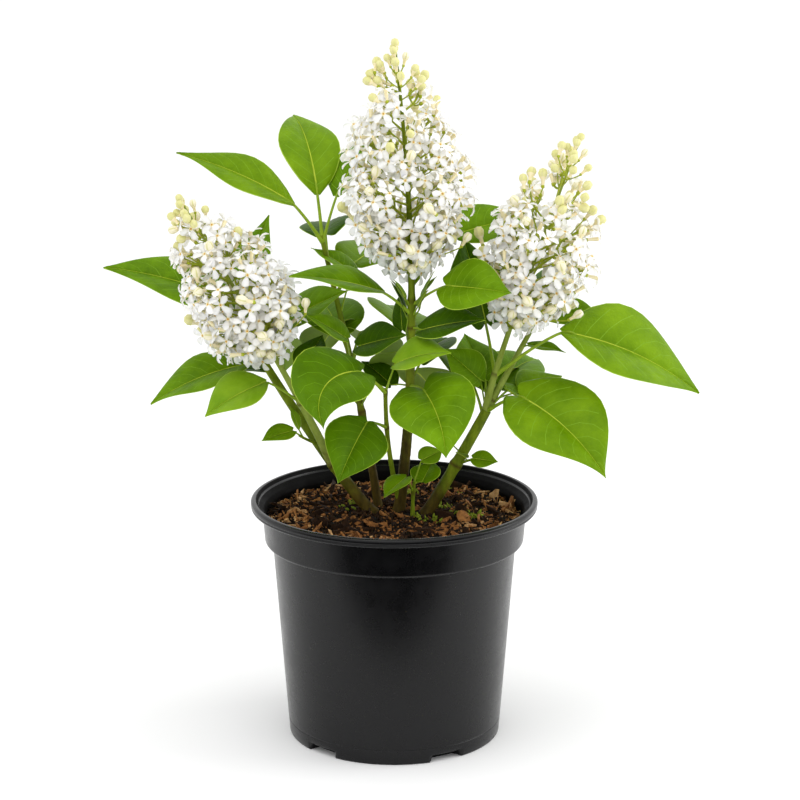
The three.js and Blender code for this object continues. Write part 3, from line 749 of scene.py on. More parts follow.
@dataclass(frozen=True)
class Compost:
    """Bark compost: an uneven top with crumbs, shreds and chips of bark, and some moss.

    level gives the top's height at a few radii, swell the height of one wave on it, and inside the
    profile that fills the pot. crumbs, shreds and chips count the bits of bark, and flake is the
    place and flake_size the length, width and thickness of the one broad chip.
    """

    edge: float = 89.0
    rings: int = 46
    sides: int = 150
    crumbs: int = 3400
    shreds: int = 900
    chips: int = 46
    moss_spots: tuple[tuple[float, float], ...] = (
        (-30, 15), (32, 15), (45, -4), (23, -19), (10, 46), (-6, 62), (55, -11), (40, 52),
    )
    moss_spikes: int = 26
    moss_reach: float = 9.0
    level: tuple[tuple[float, float], ...] = ((0, 159.6), (34, 159.4), (62, 158.4), (89, 156.8))
    swell: float = 0.35
    inside: tuple[tuple[float, float], ...] = (
        (0, 4), (57, 4), (59, 10), (71.3, 10), (82.6, 141.1), (87.8, 143.5), (88.4, 145.2), (88.6, 155),
    )
    flake: tuple[float, float] = (48.0, -20.0)
    flake_size: tuple[float, float, float] = (14.5, 9.5, 1.8)

    def height(self, x: Array, y: Array) -> Array:
        """Height of the compost's top.

        It falls from the flat round the stems to the edge, with swells that are sums of sine
        waves 10 to 40 mm long in seeded directions.

        Args:
            x: places to the right.
            y: places to the back.

        Returns:
            Heights in millimetres.
        """
        distance = np.hypot(x, y)
        level = np.interp(distance, *np.array(self.level).T)
        wave = np.arange(1, 10)
        heading, length = 360 * seeded(wave), 10 + 30 * seeded(wave + 0.5)
        step = direction(heading, 0)[:, :2] * (2 * np.pi / length)[:, None]
        phase = x[..., None] * step[:, 0] + y[..., None] * step[:, 1] + 6.28 * seeded(wave + 0.25)
        return level + self.swell * np.sin(phase).sum(-1)

    def build(self) -> None:
        """Makes the compost's body, its loose bark and its moss."""
        radii = np.linspace(self.edge, 0, self.rings)
        top = np.stack([radii, 0 * radii], -1)
        points, faces = lathe(np.concatenate([self.inside, top]), self.sides)
        surface = points[:, 2] == 0
        x, y = points[surface, 0], points[surface, 1]
        points[surface, 2] = self.height(x, y)
        parts = MeshParts()
        parts.add(points, faces, 0)
        parts.piece("compost_bed", [COMPOST], "soil", ["soil"])
        loose = MeshParts()
        self.scatter(loose, self.crumbs, 100.0, (1.7, 1.4, 1.3), 40.0)
        self.scatter(loose, self.shreds, 5000.0, (10.0, 1.8, 1.0), 32.0)
        self.scatter(loose, self.chips, 9000.0, (11.5, 8.0, 1.6), 24.0)
        self.add_flake(loose)
        loose.piece("bark_mulch", [BARK_UMBER, BARK_RUST, BARK_TAN], "soil", flat=(0, 1, 2))
        self.moss().piece("moss_tufts", [MOSS], "soil", flat=(0,))

    def scatter(
        self, parts: MeshParts, count: int, seed: float, size: tuple[float, float, float], tilt: float
    ) -> None:
        """Strews bits of bark over the compost.

        Each bit is a bar of three uneven rings of four points, bent at its middle. Places are
        even over the disc: radius is the edge times the root of a seeded value. Dry bits get more
        common towards the edge.

        Args:
            parts: where the bits go.
            count: how many.
            seed: first seed.
            size: mean length, width and thickness.
            tilt: largest slope to the level, degrees.
        """
        n = seed + np.arange(count)
        turn = 2 * np.pi * seeded(n + 0.2)
        scale = 0.55 + 0.95 * seeded(n + 0.3) ** 2
        distance = np.minimum(self.edge * np.sqrt(seeded(n + 0.1)), self.edge - 0.5 - 0.5 * size[0] * scale)
        x, y = distance * np.cos(turn), distance * np.sin(turn)
        centres = np.stack([x, y, self.height(x, y) + 0.35 * size[2]], -1)
        along = direction(360 * seeded(n + 0.4), tilt * (2 * seeded(n + 0.5) - 1))
        ring = np.array([[-0.5, -0.5], [0.5, -0.5], [0.5, 0.5], [-0.5, 0.5]])
        bar = np.concatenate([np.column_stack([ring, np.full(4, z)]) for z in (-0.5, 0.05, 0.5)])
        uneven = 0.34 * (seeded(n[:, None, None] * 1.7 + np.arange(36).reshape(12, 3)) - 0.5)
        bend = (0.6 * (seeded(n + 0.6) - 0.5))[:, None] * (bar[:, 2] > 0) * (bar[:, 2] < 0.2)
        shape = bar + uneven + np.stack([bend, bend, 0 * bend], -1)
        sizes = scale[:, None] * np.array([size[1], size[2], size[0]]) * np.ones((count, 1))
        points = placed(shape, centres, along, 0.5 * (seeded(n + 0.7) - 0.5), sizes)
        ends = np.array([[3, 2, 1, 0], [8, 9, 10, 11]])
        faces = np.concatenate([grid_faces(3, 4), ends])
        tone = seeded(n + 0.8) - 0.45 * (distance / self.edge) ** 2
        shade = np.where(tone < -0.14, 2, np.where(tone < 0.2, 1, 0))
        parts.add(points, copied(faces, 12, count), np.repeat(shade, len(faces)))

    def add_flake(self, parts: MeshParts) -> None:
        """Adds the one broad flat chip, a thin lens that leans in front of the right stem.

        Args:
            parts: where the chip goes.
        """
        lens, faces = lathe([(0, -0.5), (0.4, -0.3), (0.5, 0), (0.4, 0.3), (0, 0.5)], 12)
        x, y = (np.array([value]) for value in self.flake)
        centre = np.stack([x, y, self.height(x, y) + 2.5], -1)
        lean = direction(-70, 62)[None]
        points = placed(lens, centre, lean, np.array([0.2]), np.array([self.flake_size]))
        parts.add(points, faces, 1)

    def moss(self) -> MeshParts:
        """Tufts of moss: small leaning spikes, thickest at each spot's middle.

        Returns:
            The gathered spikes.
        """
        parts = MeshParts()
        spots = np.repeat(np.array(self.moss_spots, float), self.moss_spikes, axis=0)
        n = 700.0 + np.arange(len(spots))
        turn, reach = 2 * np.pi * seeded(n), self.moss_reach * seeded(n + 0.2)
        x, y = spots[:, 0] + reach * np.cos(turn), spots[:, 1] + reach * np.sin(turn)
        centres = np.stack([x, y, self.height(x, y) + 0.3], -1)
        spike, faces = lathe([(0, -0.5), (0.5, 0), (0.7, 0.5), (0, 1)], 4)
        sizes = np.stack([1.1 + 0.9 * seeded(n + 0.3)] * 2 + [2.0 + 2.6 * seeded(n + 0.4)], -1)
        along = direction(360 * seeded(n + 0.5), 30 + 50 * seeded(n + 0.6))
        points = placed(spike, centres, along, turn, sizes)
        parts.add(points, copied(faces, len(spike), len(spots)), 0)
        return parts


# Stems


COMPOST_TOP = 160.0


@dataclass(frozen=True)
class Shoot:
    """One stem: its centre line, its taper, how far up it is woody and where it has nodes.

    flare is how much its foot widens in the compost, over flare_height. A node swells the stem by
    node_swell over node_length, with a brown ring of ring_length. turning is the share of the
    length over which it turns woody.
    """

    name: str
    foot: tuple[float, float, float]
    mid: tuple[float, float, float]
    tip: tuple[float, float, float]
    radius: tuple[float, float]
    woody: float = 0.0
    nodes: tuple[float, ...] = ()
    solid: str | None = None
    finish: Finish = SHOOT
    flare: float = 0.3
    flare_height: float = 12.0
    node_swell: float = 0.2
    node_length: float = 3.0
    ring_length: float = 1.3
    turning: float = 0.05

    def at(self, share: Array | float) -> Array:
        """Points of the centre line.

        The line is (1-s)^2 foot + 2 s (1-s) control + s^2 tip, with the control point placed so
        that the line passes mid halfway.

        Args:
            share: shares of the length.

        Returns:
            The points, with one more axis than the shares.
        """
        foot, mid, tip = (np.array(p, float) for p in (self.foot, self.mid, self.tip))
        control = 2 * mid - 0.5 * (foot + tip)
        s = np.asarray(share, float)[..., None]
        return (1 - s) ** 2 * foot + 2 * s * (1 - s) * control + s ** 2 * tip

    def radius_at(self, share: Array) -> Array:
        """Radius of the stem: an even taper, with a flare at a foot in the compost.

        Args:
            share: shares of the length.

        Returns:
            The radii.
        """
        rise = (self.tip[2] - self.foot[2]) * share
        rooted = self.foot[2] < COMPOST_TOP
        flare = rooted * self.flare * np.maximum(0, 1 - rise / self.flare_height) ** 2
        return (self.radius[0] + (self.radius[1] - self.radius[0]) * share) * (1 + flare)

    def build(self, sides: int = 16) -> None:
        """Makes the shoot with its bark.

        The radius swells at each node, and long furrows and small knobs, sums of sines round
        and along the stem, are deeper where it is woody.

        Args:
            sides: points in a ring.
        """
        span = float(np.linalg.norm(np.array(self.tip) - np.array(self.foot)))
        share = np.linspace(0, 1, max(8, int(span / 2)))
        turn = 2 * np.pi * np.arange(sides) / sides
        height = share[:, None] * span
        wander = 0.03 * np.sin(0.9 * height + 3 * turn) + 0.03 * np.sin(0.31 * height + 2 * turn)
        past = (share[:, None] + wander - self.woody) / self.turning
        age = 1 / (1 + np.exp(past)) if self.woody else 0 * wander
        swell, ring = 0 * share, 0 * share
        for node in self.nodes:
            gap = (share - node) * span
            swell = swell + self.node_swell * np.exp(-((gap / self.node_length) ** 2))
            ring = ring + np.exp(-((gap / self.ring_length) ** 2))
        age = np.clip(age + 0.9 * ring[:, None], 0, 1)
        furrow = np.sin(5 * turn + 0.05 * height) + np.sin(7 * turn - 0.11 * height + 2)
        knob = np.sin(3 * turn + 1.1 * height) * np.sin(4 * turn - 0.83 * height)
        bark = (0.012 + 0.03 * age) * furrow + (0.01 + 0.035 * age) * knob
        radii = self.radius_at(share)[:, None] * (1 + swell[:, None] + bark)
        parts = MeshParts()
        points, faces = tubes(self.at(share)[None], radii[None], sides)
        parts.add(points, faces, 0, np.append(age.ravel(), [age[0, 0], age[-1, 0]]))
        parts.piece(f"shoot_{self.name}", [self.finish], "stem", [self.solid] if self.solid else [])


SHOOTS = {
    shoot.name: shoot
    for shoot in (
        Shoot(
            "middle", (3, 0, 158), (12, 2, 311), (1, 6, 482), (4.2, 0.8), 0.27, (0.27, 0.44, 0.5),
            "stem_middle",
        ),
        Shoot(
            "left", (-15, 0, 158), (-54, 6, 209), (-97, 20, 273), (4.5, 2.6), 0.3, (0.36, 0.97),
            "stem_left",
        ),
        Shoot(
            "leftBough", (-44, 1, 195), (-79, -8, 268), (-143, -12, 381), (3.4, 0.6), 0.05, (0.34,),
            "bough_left", YOUNG_SHOOT,
        ),
        Shoot(
            "right", (22, -2, 158), (43, -2, 195), (64, -2, 234), (4.4, 3.5), 0.3, (0.5,), "stem_right",
        ),
        Shoot(
            "rightA", (64, -2, 234), (78, -2, 287), (125, 2, 420), (3.0, 0.6), 0, (0.33,),
            "bough_right_a", YOUNG_SHOOT,
        ),
        Shoot(
            "rightB", (64, -2, 234), (83, 10, 266), (103, 28, 298), (2.6, 1.5), 0, (0.1, 0.94),
            "bough_right_b", YOUNG_SHOOT,
        ),
        Shoot(
            "back", (-11, 10, 158), (-26, 22, 242), (-51, 36, 350), (3.2, 1.6), 0.42, (0.42, 0.58),
            "stem_back",
        ),
        Shoot(
            "front", (3, -1, 170), (-4, -9, 211), (-6, -16, 253), (1.9, 1.4), 0, (0.66, 0.97),
            "bough_front",
        ),
        Shoot("sprout", (13, -8, 158), (13, -9, 172), (14, -10, 185), (1.5, 1.1), 0, (0.7,)),
        Shoot("leftTwig", (-50, 0, 208), (-58, -3, 212), (-66, -6, 217), (1.1, 0.9)),
        Shoot("rightTwig", (42, -2, 193), (47, -5, 197), (53, -8, 200), (1.1, 0.9)),
    )
}


# Leaves


class Tone(Enum):
    """Age of a leaf and its painted light and shade, as the number of its blade's finish."""

    DEEP = 0
    DARK = 1
    MID = 2
    FRESH = 3
    YOUNG = 4


LEAF_FINISHES = (
    LEAF_DEEP, LEAF_DARK, LEAF_MID, LEAF_FRESH, LEAF_YOUNG, LEAF_RIB, LEAF_VEIN, LEAF_EDGE, LEAF_UNDER,
    LEAF_PALE_VEIN,
)
RIB, VEIN, EDGE, UNDER, PALE_VEIN = range(len(Tone), len(LEAF_FINISHES))
# Fullness of a heart-shaped and of a wedge-shaped foot, rise of each half blade from its midrib,
# how much narrower the tip is drawn out, and how far a heart's lobes reach back.
HEART = 0.12
WEDGE = 0.03
FOLD = math.radians(14)
TIP_DRAWN = 0.66
LOBE_REACH = 8 / 11


@dataclass(frozen=True)
class Leaf:
    """One leaf: where it leaves its shoot, and how its stalk and blade lie.

    stalk and blade are heading, pitch and length. roll tips the blade about its midrib, droop
    curls it down, bend curves it sideways, wide is its width over its length and base the
    fullness of its foot.
    """

    on: str
    up: float
    stalk: tuple[float, float, float]
    blade: tuple[float, float, float]
    roll: float
    droop: float
    wide: float
    tone: Tone = Tone.MID
    base: float = HEART
    bend: float = 0.1

    @property
    def root(self) -> Array:
        """Where the stalk leaves the shoot's centre line."""
        return SHOOTS[self.on].at(self.up)

    @property
    def foot(self) -> Array:
        """Where the stalk meets the blade."""
        return self.root + direction(*self.stalk[:2]) * self.stalk[2]

    def half_width(self, share: Array) -> Array:
        """Half the blade's width: a sine of the share from its base on, drawn out at the tip."""
        full = np.clip(np.sin(np.pi * (self.base + (1 - self.base) * share ** 0.85)), 0, 1) ** 0.95
        return 0.5 * self.wide * self.blade[2] * full * (1 - TIP_DRAWN * share ** 4.6)

    def points(self, share: Array, side: Array, lift: Array) -> Array:
        """Points of the blade.

        Each half rises from the midrib by the fold's angle and bulges a little. Heart lobes reach
        back as a sine of the side times (1 - share)^3. The midrib bends sideways along a circle,
        and the whole blade then curls down along another.

        Args:
            share: from 0 at the foot to 1 at the tip.
            side: from -1 to 1 across the blade.
            lift: height over the blade's middle surface.

        Returns:
            The points, with one more axis than the shares.
        """
        heading, pitch, length = self.blade
        along, level = direction(heading, pitch), direction(heading, pitch + 90)
        roll = math.radians(self.roll)
        face = level * math.cos(roll) + np.cross(level, along) * math.sin(roll)
        across = np.cross(face, along)
        curl, bend = math.radians(self.droop) / length, math.radians(self.bend) / length
        half = self.half_width(share) * side
        flat = half * math.cos(FOLD)
        rise = np.abs(half) * math.sin(FOLD) * (1.7 - np.abs(side)) + lift
        back = LOBE_REACH * self.base * length * (1 - share) ** 3
        lobe = back * np.sin(0.72 * np.pi * np.abs(side))
        turn = bend * share * length
        out = np.sin(turn) / bend - np.sin(turn) * flat - np.cos(turn) * lobe
        aside = (1 - np.cos(turn)) / bend + np.cos(turn) * flat - np.sin(turn) * lobe
        onward = np.sin(curl * out) / curl + rise * np.sin(curl * out)
        upward = (np.cos(curl * out) - 1) / curl + rise * np.cos(curl * out)
        return self.foot + aside[..., None] * across + onward[..., None] * along + upward[..., None] * face


@dataclass(frozen=True)
class BladeGrid:
    """How a blade is divided: rows along its side veins, columns from its midrib to its edge.

    wave and quilt are the heights of the edge's wave and of the swell between veins over the
    blade's length. thick is half the blade's thickness, sunk the depth of the midrib above and
    keel its height below, in millimetres on a full-grown leaf.
    """

    veins: tuple[float, ...] = (0.06, 0.14, 0.24, 0.35, 0.47, 0.6, 0.73, 0.85)
    vein_half: float = 0.0022
    last_row: float = 0.97
    columns: tuple[float, ...] = (0.0, 0.28, 0.56, 0.8, 1.0)
    wave: float = 0.012
    quilt: float = 0.006
    thick: float = 0.24
    sunk: float = 0.25
    keel: float = 0.9

    def rows(self) -> tuple[Array, Array, Array]:
        """Shares of the rows where they leave the midrib.

        A vein lies between two close rows, with one row halfway to the next vein.

        Returns:
            The shares, the swell of each row, 1 between veins and 0 on them, and whether the
            strip above each row is a vein.
        """
        veins = np.array(self.veins)
        bounds = np.concatenate([[0.0], veins, [self.last_row]])
        between = 0.5 * (bounds[1:] + bounds[:-1])
        low, high = veins - self.vein_half, veins + self.vein_half
        share = np.concatenate([[0.0], between, low, high, [self.last_row]])
        swell = np.concatenate([[0.0], np.ones(len(between)), np.zeros(2 * len(veins) + 1)])
        vein = np.concatenate([np.zeros(1 + len(between)), np.ones(len(low)), np.zeros(len(high) + 1)])
        order = np.argsort(share)
        return share[order], swell[order], vein[order] > 0

    def add_blade(self, parts: MeshParts, leaf: Leaf) -> None:
        """Adds a leaf's blade as one closed thin shape.

        A row sweeps forward from the midrib as a side vein does, by 0.9 s^0.7 (1-s) |t|^1.25.
        Between veins the upper face swells a little, the midrib lies sunk above and stands out
        below, and the edge waves gently. Upper and lower quads share the same diagonal.

        Args:
            parts: where the blade goes.
            leaf: the leaf.
        """
        length = leaf.blade[2]
        start, swell, vein = self.rows()
        rib = (0.5 * (1 - start) ** 1.4 + 0.08) * np.clip(length / 80, 0.4, 1.1)
        half = np.maximum(leaf.half_width(start), 0.4)
        inner = np.minimum(rib / half, 0.4)[:, None]
        outer = np.maximum(1 - 0.45 / half, 0.7)[:, None]
        spread = inner + (outer - inner) * np.array(self.columns)
        right = np.concatenate([0 * inner, spread, 1 + 0 * inner], 1)
        side = np.concatenate([-right[:, :0:-1], right], 1)
        sweep = 0.9 * start ** 0.7 * (1 - start)
        share = start[:, None] + sweep[:, None] * np.abs(side) ** 1.25
        seed = leaf.up * 31 + leaf.blade[0]
        phase = 2 * np.pi * (1.6 * share + seeded(seed)) + np.sign(side)
        wave = self.wave * length * np.sin(phase) * side ** 2
        quilt = self.quilt * length * swell[:, None] * np.sin(np.pi * np.abs(side)) ** 0.7
        last = side.shape[1] - 1
        column = np.abs(np.arange(last + 1) - last // 2)
        thick = self.thick * np.clip(length / 60, 0.5, 1.2) * (1 - np.abs(side) ** 14)
        grown = (column == 0) * np.clip(length / 70, 0.3, 1)
        sunk, keel = self.sunk * grown, self.keel * grown * (1.1 - start[:, None])
        lift = wave + quilt
        top = leaf.points(share, side, lift + thick - sunk)
        bottom = leaf.points(share, side, lift - thick - keel)
        rings = np.concatenate([top, bottom[:, last - 1:0:-1]], 1)
        rows, around = rings.shape[:2]
        tip = leaf.points(np.ones(1), np.zeros(1), np.zeros(1))
        points = np.concatenate([rings.reshape(-1, 3), tip])
        cap = self.foot_faces(last, around)
        end = fan_faces(np.arange(around) + (rows - 1) * around, rows * around)
        strips = grid_faces(rows, around)
        under = (np.arange(len(strips)) % around >= last)[:, None]
        strips = np.where(under, np.roll(strips, -1, 1), strips)
        faces = np.concatenate([strips, cap, end])
        parts.add(points, faces, self.slots(leaf, vein, last, around, len(cap)))

    @staticmethod
    def foot_faces(last: int, around: int) -> Array:
        """Faces that close a blade's foot, from its upper row to its lower one.

        They are quads, but triangles at the two edges, where upper and lower rows meet.

        Args:
            last: number of the last column.
            around: points in a ring.

        Returns:
            The faces, (last, 4).
        """
        upper = np.arange(last)
        lower = (around - upper) % around
        cap = np.stack([upper + 1, upper, lower, np.append(lower[1:], last)], -1)
        none = np.full((last, 1), -1)
        cap = np.where(cap[:, [1]] == cap[:, [2]], np.concatenate([cap[:, [0, 1, 3]], none], 1), cap)
        return np.where(cap[:, [0]] == cap[:, [3]], np.concatenate([cap[:, :3], none], 1), cap)

    @staticmethod
    def slots(leaf: Leaf, vein: Array, last: int, around: int, caps: int) -> Array:
        """Finish numbers of a blade's faces.

        Args:
            leaf: the leaf.
            vein: whether the strip above each row is a vein.
            last: number of the last column.
            around: points in a ring.
            caps: faces that close the foot.

        Returns:
            One number for each face.
        """
        strip = np.arange(around)
        middle = np.minimum(np.abs(strip - (last - 1) / 2), np.abs(strip - (last + (last - 1) / 2)))
        upper = strip < last
        plain = np.where(upper, leaf.tone.value, UNDER)
        line = {Tone.DEEP: Tone.DARK.value, Tone.DARK: VEIN}.get(leaf.tone, PALE_VEIN)
        lined = np.where(upper & (middle < last / 2 - 1.5), line, plain)
        grid = np.where(vein[:-1, None], lined, plain)
        grid = np.where(middle < 1, RIB, grid)
        # The outer strip of the upper face takes the pale edge, partly a painted rim highlight.
        grid = np.where(upper & (middle > last / 2 - 1), EDGE, grid)
        return np.concatenate([grid.ravel(), np.full(caps, EDGE), plain])


def stalk(parts: MeshParts, leaf: Leaf) -> None:
    """Adds a leaf's stalk: a tapering tube from its shoot into the blade, flared at its root.

    Args:
        parts: where the stalk goes.
        leaf: the leaf.
    """
    root, foot = leaf.root, leaf.foot
    bow = root + 0.55 * (foot - root) + np.array([0, 0, 0.04 * leaf.stalk[2]])
    inside = leaf.points(np.array([0.1]), np.zeros(1), np.full(1, -0.3))
    steps, sides = 13, 8
    path = smooth_path(np.concatenate([[root, bow, foot], inside]), steps)
    share = np.linspace(0, 1, steps)
    radius = 1.1 * np.clip(leaf.blade[2] / 60, 0.6, 1.15)
    radii = radius * (1 - 0.35 * share) * (1 + 0.5 * np.exp(-((share / 0.12) ** 2)))
    radii[-1] *= 0.4
    points, faces = tubes(path[None], radii[None], sides)
    parts.add(points, faces, 0)


def far_leaf(on: str, up: float, heading: float, n: int, drop: float = 0.0) -> Leaf:
    """A leaf of the far side: its heading is given and the rest follows from a seed.

    Args:
        on: its shoot.
        up: share of the shoot's length.
        heading: its heading.
        n: its seed.
        drop: how much lower than level its blade hangs, in degrees.

    Returns:
        The leaf.
    """
    length = 52 + 18 * float(seeded(n))
    return Leaf(
        on,
        up,
        (heading, 34 + 14 * float(seeded(n + 0.3)), 0.42 * length),
        (heading + 24 * (float(seeded(n + 0.5)) - 0.5), 12 + 20 * float(seeded(n + 0.7)) - drop, length),
        40 * (float(seeded(n + 0.9)) - 0.5),
        24 + 16 * float(seeded(n + 0.2)),
        0.68 + 0.14 * float(seeded(n + 0.4)),
        # Every third far leaf takes the deep tone, painted shade.
        (Tone.MID, Tone.FRESH, Tone.DEEP)[n % 3],
    )


def young_leaves(on: str, up: float, count: int, length: float, turn: float) -> tuple[Leaf, ...]:
    """A whorl of narrow young leaves round a shoot, evenly turned, each a little other in length.

    Args:
        on: their shoot.
        up: share of the shoot's length.
        count: how many.
        length: mean length of a blade.
        turn: heading of the first.

    Returns:
        The leaves.
    """
    leaves = []
    for k in range(count):
        heading, seed = turn + 360 * k / count, float(seeded(turn + k))
        stem = (heading, 50, 6 + 5 * seed)
        blade = (heading, 62 + 14 * seed, length * (0.8 + 0.4 * seed))
        leaves.append(Leaf(on, up + 0.02 * seed, stem, blade, 0, 20, 0.42, Tone.YOUNG, WEDGE))
    return tuple(leaves)


DEEP, DARK, MID, FRESH, YOUNG = Tone


@dataclass(frozen=True)
class FoliageMass:
    """Leaves that grow on one stretch of the plant, on their stalks.

    behind gives shoot, share and heading of leaves on the far side, and hanging the same with a
    seed, for those whose blades hang by drop degrees.
    """

    solid: str
    leaves: tuple[Leaf, ...]
    behind: tuple[tuple[str, float, float], ...] = ()
    young: tuple[Leaf, ...] = ()
    hanging: tuple[tuple[str, float, float, int], ...] = ()
    drop: float = 46.0

    def build(self, seed: int) -> Array:
        """Makes the leaves and their stalks.

        Args:
            seed: number of far leaves that came before.

        Returns:
            Points of the blades, which flowers keep clear of.
        """
        far = tuple(far_leaf(*spot, seed + k + 1) for k, spot in enumerate(self.behind))
        far += tuple(far_leaf(*spot, self.drop) for spot in self.hanging)
        blades, stalks, grid = MeshParts(), MeshParts(), BladeGrid()
        for leaf in self.leaves + far + self.young:
            grid.add_blade(blades, leaf)
            stalk(stalks, leaf)
        blades.piece(f"leaves_{self.solid}", LEAF_FINISHES, "foliage", [self.solid])
        stalks.piece(f"stalks_{self.solid}", [STALK], "foliage")
        return np.concatenate(blades.points)


FOLIAGE = (
    FoliageMass(
        "foliage_middle",
        (
            Leaf("middle", 0.47, (-164, 39, 27), (-164, 22, 67), 14, 20, 0.64, MID, 0.05),
            Leaf("middle", 0.49, (-34, 31, 33), (-37, 5, 52), -46, 12, 0.84, MID),
            Leaf("middle", 0.44, (-55, 5, 13), (-27, 20, 48), -32, 15, 0.7, DEEP),
            Leaf("middle", 0.42, (142, 30, 9), (106, 62, 28), 60, 15, 0.6, DEEP),
            Leaf("middle", 0.53, (43, 34, 56), (14, 16, 51), -32, 15, 0.8, MID),
            Leaf("middle", 0.31, (-68, 7, 24), (-65, -18, 62), -24, 30, 1.0, MID, 0.17, -25),
            Leaf("middle", 0.31, (135, -8, 19), (138, 33, 32), 10, 20, 0.8, DEEP),
        ),
        (("middle", 0.37, 98), ("middle", 0.31, 66)),
        (
            Leaf("middle", 0.44, (172, 66, 9), (176, 74, 27), 10, 16, 0.4, DEEP, WEDGE),
            Leaf("middle", 0.46, (150, 70, 12), (158, 62, 19), 0, 20, 0.4, YOUNG, WEDGE),
            Leaf("middle", 0.45, (-12, 62, 11), (-8, 76, 30), -10, 14, 0.36, YOUNG, WEDGE),
            Leaf("middle", 0.47, (24, 58, 13), (20, 60, 19), 0, 20, 0.42, YOUNG, WEDGE),
            Leaf("middle", 0.46, (-50, 56, 12), (-46, 64, 17), 0, 24, 0.42, YOUNG, WEDGE),
            Leaf("middle", 0.48, (-140, 58, 10), (-150, 66, 18), 0, 20, 0.42, YOUNG, WEDGE),
        ),
        (("middle", 0.28, 74, 61), ("middle", 0.32, 116, 63)),
    ),
    FoliageMass(
        "foliage_front",
        (
            # The dark tone on these leaves is painted shade, for leaves that face forward and down.
            Leaf("front", 0.97, (-150, 40, 26), (-138, 12, 88), 30, 25, 0.64, DARK, bend=80),
            Leaf("front", 0.97, (-45, 65, 24), (-15, 30, 40), -20, 35, 1.1, YOUNG, 0.1),
            Leaf("front", 0.66, (-132, 21, 21), (-112, -20, 58), 25, 25, 0.8, DARK, 0.06, 8),
        ),
    ),
    FoliageMass(
        "foliage_right",
        (
            Leaf("right", 0.99, (120, 70, 22), (-180, 44, 34), 50, 10, 0.9, MID, 0.1),
            Leaf("right", 0.99, (91, 69, 22), (110, 35, 48), 0, 10, 0.7, MID, 0.04),
            Leaf("right", 0.99, (-42, 28, 34), (-42, -12, 92), -26, 25, 0.75, FRESH, 0.1, -20),
            Leaf("rightB", 0.1, (5, 16, 21), (35, 16, 38), -12, 15, 1.0, FRESH, WEDGE),
            Leaf("rightA", 0.33, (102, 47, 42), (116, 63, 66), 0, 12, 0.74, DEEP),
            Leaf("rightA", 0.32, (-12, 35, 58), (2, -10, 107), -28, 30, 0.74, FRESH, WEDGE, -10),
        ),
        (("right", 0.98, 62), ("right", 0.95, 112)),
        young_leaves("right", 0.58, 2, 9, 200),
        (("right", 0.98, 4, 64), ("rightA", 0.1, 82, 66)),
    ),
    FoliageMass(
        "foliage_right_b",
        (
            Leaf("rightB", 0.95, (32, 0, 9), (-16, 9, 37), -30, 15, 0.8, FRESH),
            Leaf("rightB", 0.64, (-20, 20, 6), (-20, 0, 27), -10, 15, 0.6, MID),
        ),
        (("rightB", 0.93, 66),),
    ),
    FoliageMass(
        "foliage_left",
        (
            Leaf("left", 0.98, (111, 46, 38), (183, 26, 105), 30, 25, 0.5, MID, WEDGE),
            Leaf("left", 0.98, (112, 48, 46), (55, 67, 62), 0, 15, 0.6, MID),
            Leaf("left", 0.97, (45, 39, 31), (-28, 32, 58), -40, 10, 0.64, MID, 0.15),
            Leaf("left", 0.98, (-144, -30, 15), (-162, -6, 70), 16, 30, 0.66, MID, 0.08),
            Leaf("left", 0.86, (120, 5, 13), (160, 0, 38), 0, 15, 0.7, DEEP),
        ),
        (("left", 0.9, 104), ("left", 0.95, 68)),
        hanging=(("left", 0.97, 62, 67),),
    ),
    FoliageMass(
        "foliage_left_bough",
        (
            Leaf("leftBough", 0.34, (-148, 34, 33), (-155, -13, 49), 18, 25, 0.9, YOUNG, 0.04),
            Leaf("leftBough", 0.36, (80, 45, 26), (61, 40, 32), 0, 15, 0.8, DEEP),
        ),
    ),
    FoliageMass(
        "foliage_back",
        (
            Leaf("back", 0.98, (-175, 53, 35), (-170, 35, 88), 32, 25, 0.46, FRESH, WEDGE),
            Leaf("back", 0.98, (116, 75, 35), (105, 60, 90), 0, 60, 0.5, FRESH, WEDGE),
            Leaf("back", 0.98, (40, 68, 35), (42, 56, 57), 0, 20, 0.66, MID, 0.05),
            Leaf("back", 0.76, (5, 74, 31), (155, 34, 36), 4, 20, 0.7, MID),
            Leaf("back", 0.58, (-75, 49, 26), (-22, 21, 38), -34, 10, 0.92, DEEP),
            Leaf("back", 0.58, (-98, 45, 40), (185, 38, 32), 22, 15, 0.8, MID),
        ),
        (("back", 0.92, 96), ("back", 0.6, 118), ("back", 0.82, 56)),
        young_leaves("back", 0.42, 3, 12, -60),
        (("back", 0.63, 118, 69), ("back", 0.6, 68, 70)),
    ),
    FoliageMass(
        "sprout_soil",
        (
            Leaf("sprout", 0.7, (-125, 56, 15), (-137, -16, 24), 0, 20, 0.9, FRESH),
            Leaf("sprout", 0.95, (-5, 13, 6), (63, 37, 20), 0, 5, 1.2, FRESH),
            Leaf("sprout", 0.95, (62, 50, 18), (28, 19, 18), -30, 5, 1.0, YOUNG),
        ),
    ),
    FoliageMass(
        "sprout_left",
        (
            Leaf("leftTwig", 0.9, (-166, 36, 8), (-151, -4, 24), 22, 15, 0.82, FRESH),
            Leaf("leftTwig", 0.85, (150, 60, 6), (150, 72, 18), 10, 15, 0.5, YOUNG, WEDGE),
        ),
    ),
    FoliageMass(
        "sprout_right",
        (
            Leaf("rightTwig", 0.9, (-29, 28, 4), (-26, 1, 19), -50, 10, 0.74, FRESH),
            Leaf("rightTwig", 0.8, (-110, 45, 5), (-125, 35, 14), 0, 15, 0.7, YOUNG),
        ),
    ),
)


# Flowers


TUBE = 10.0


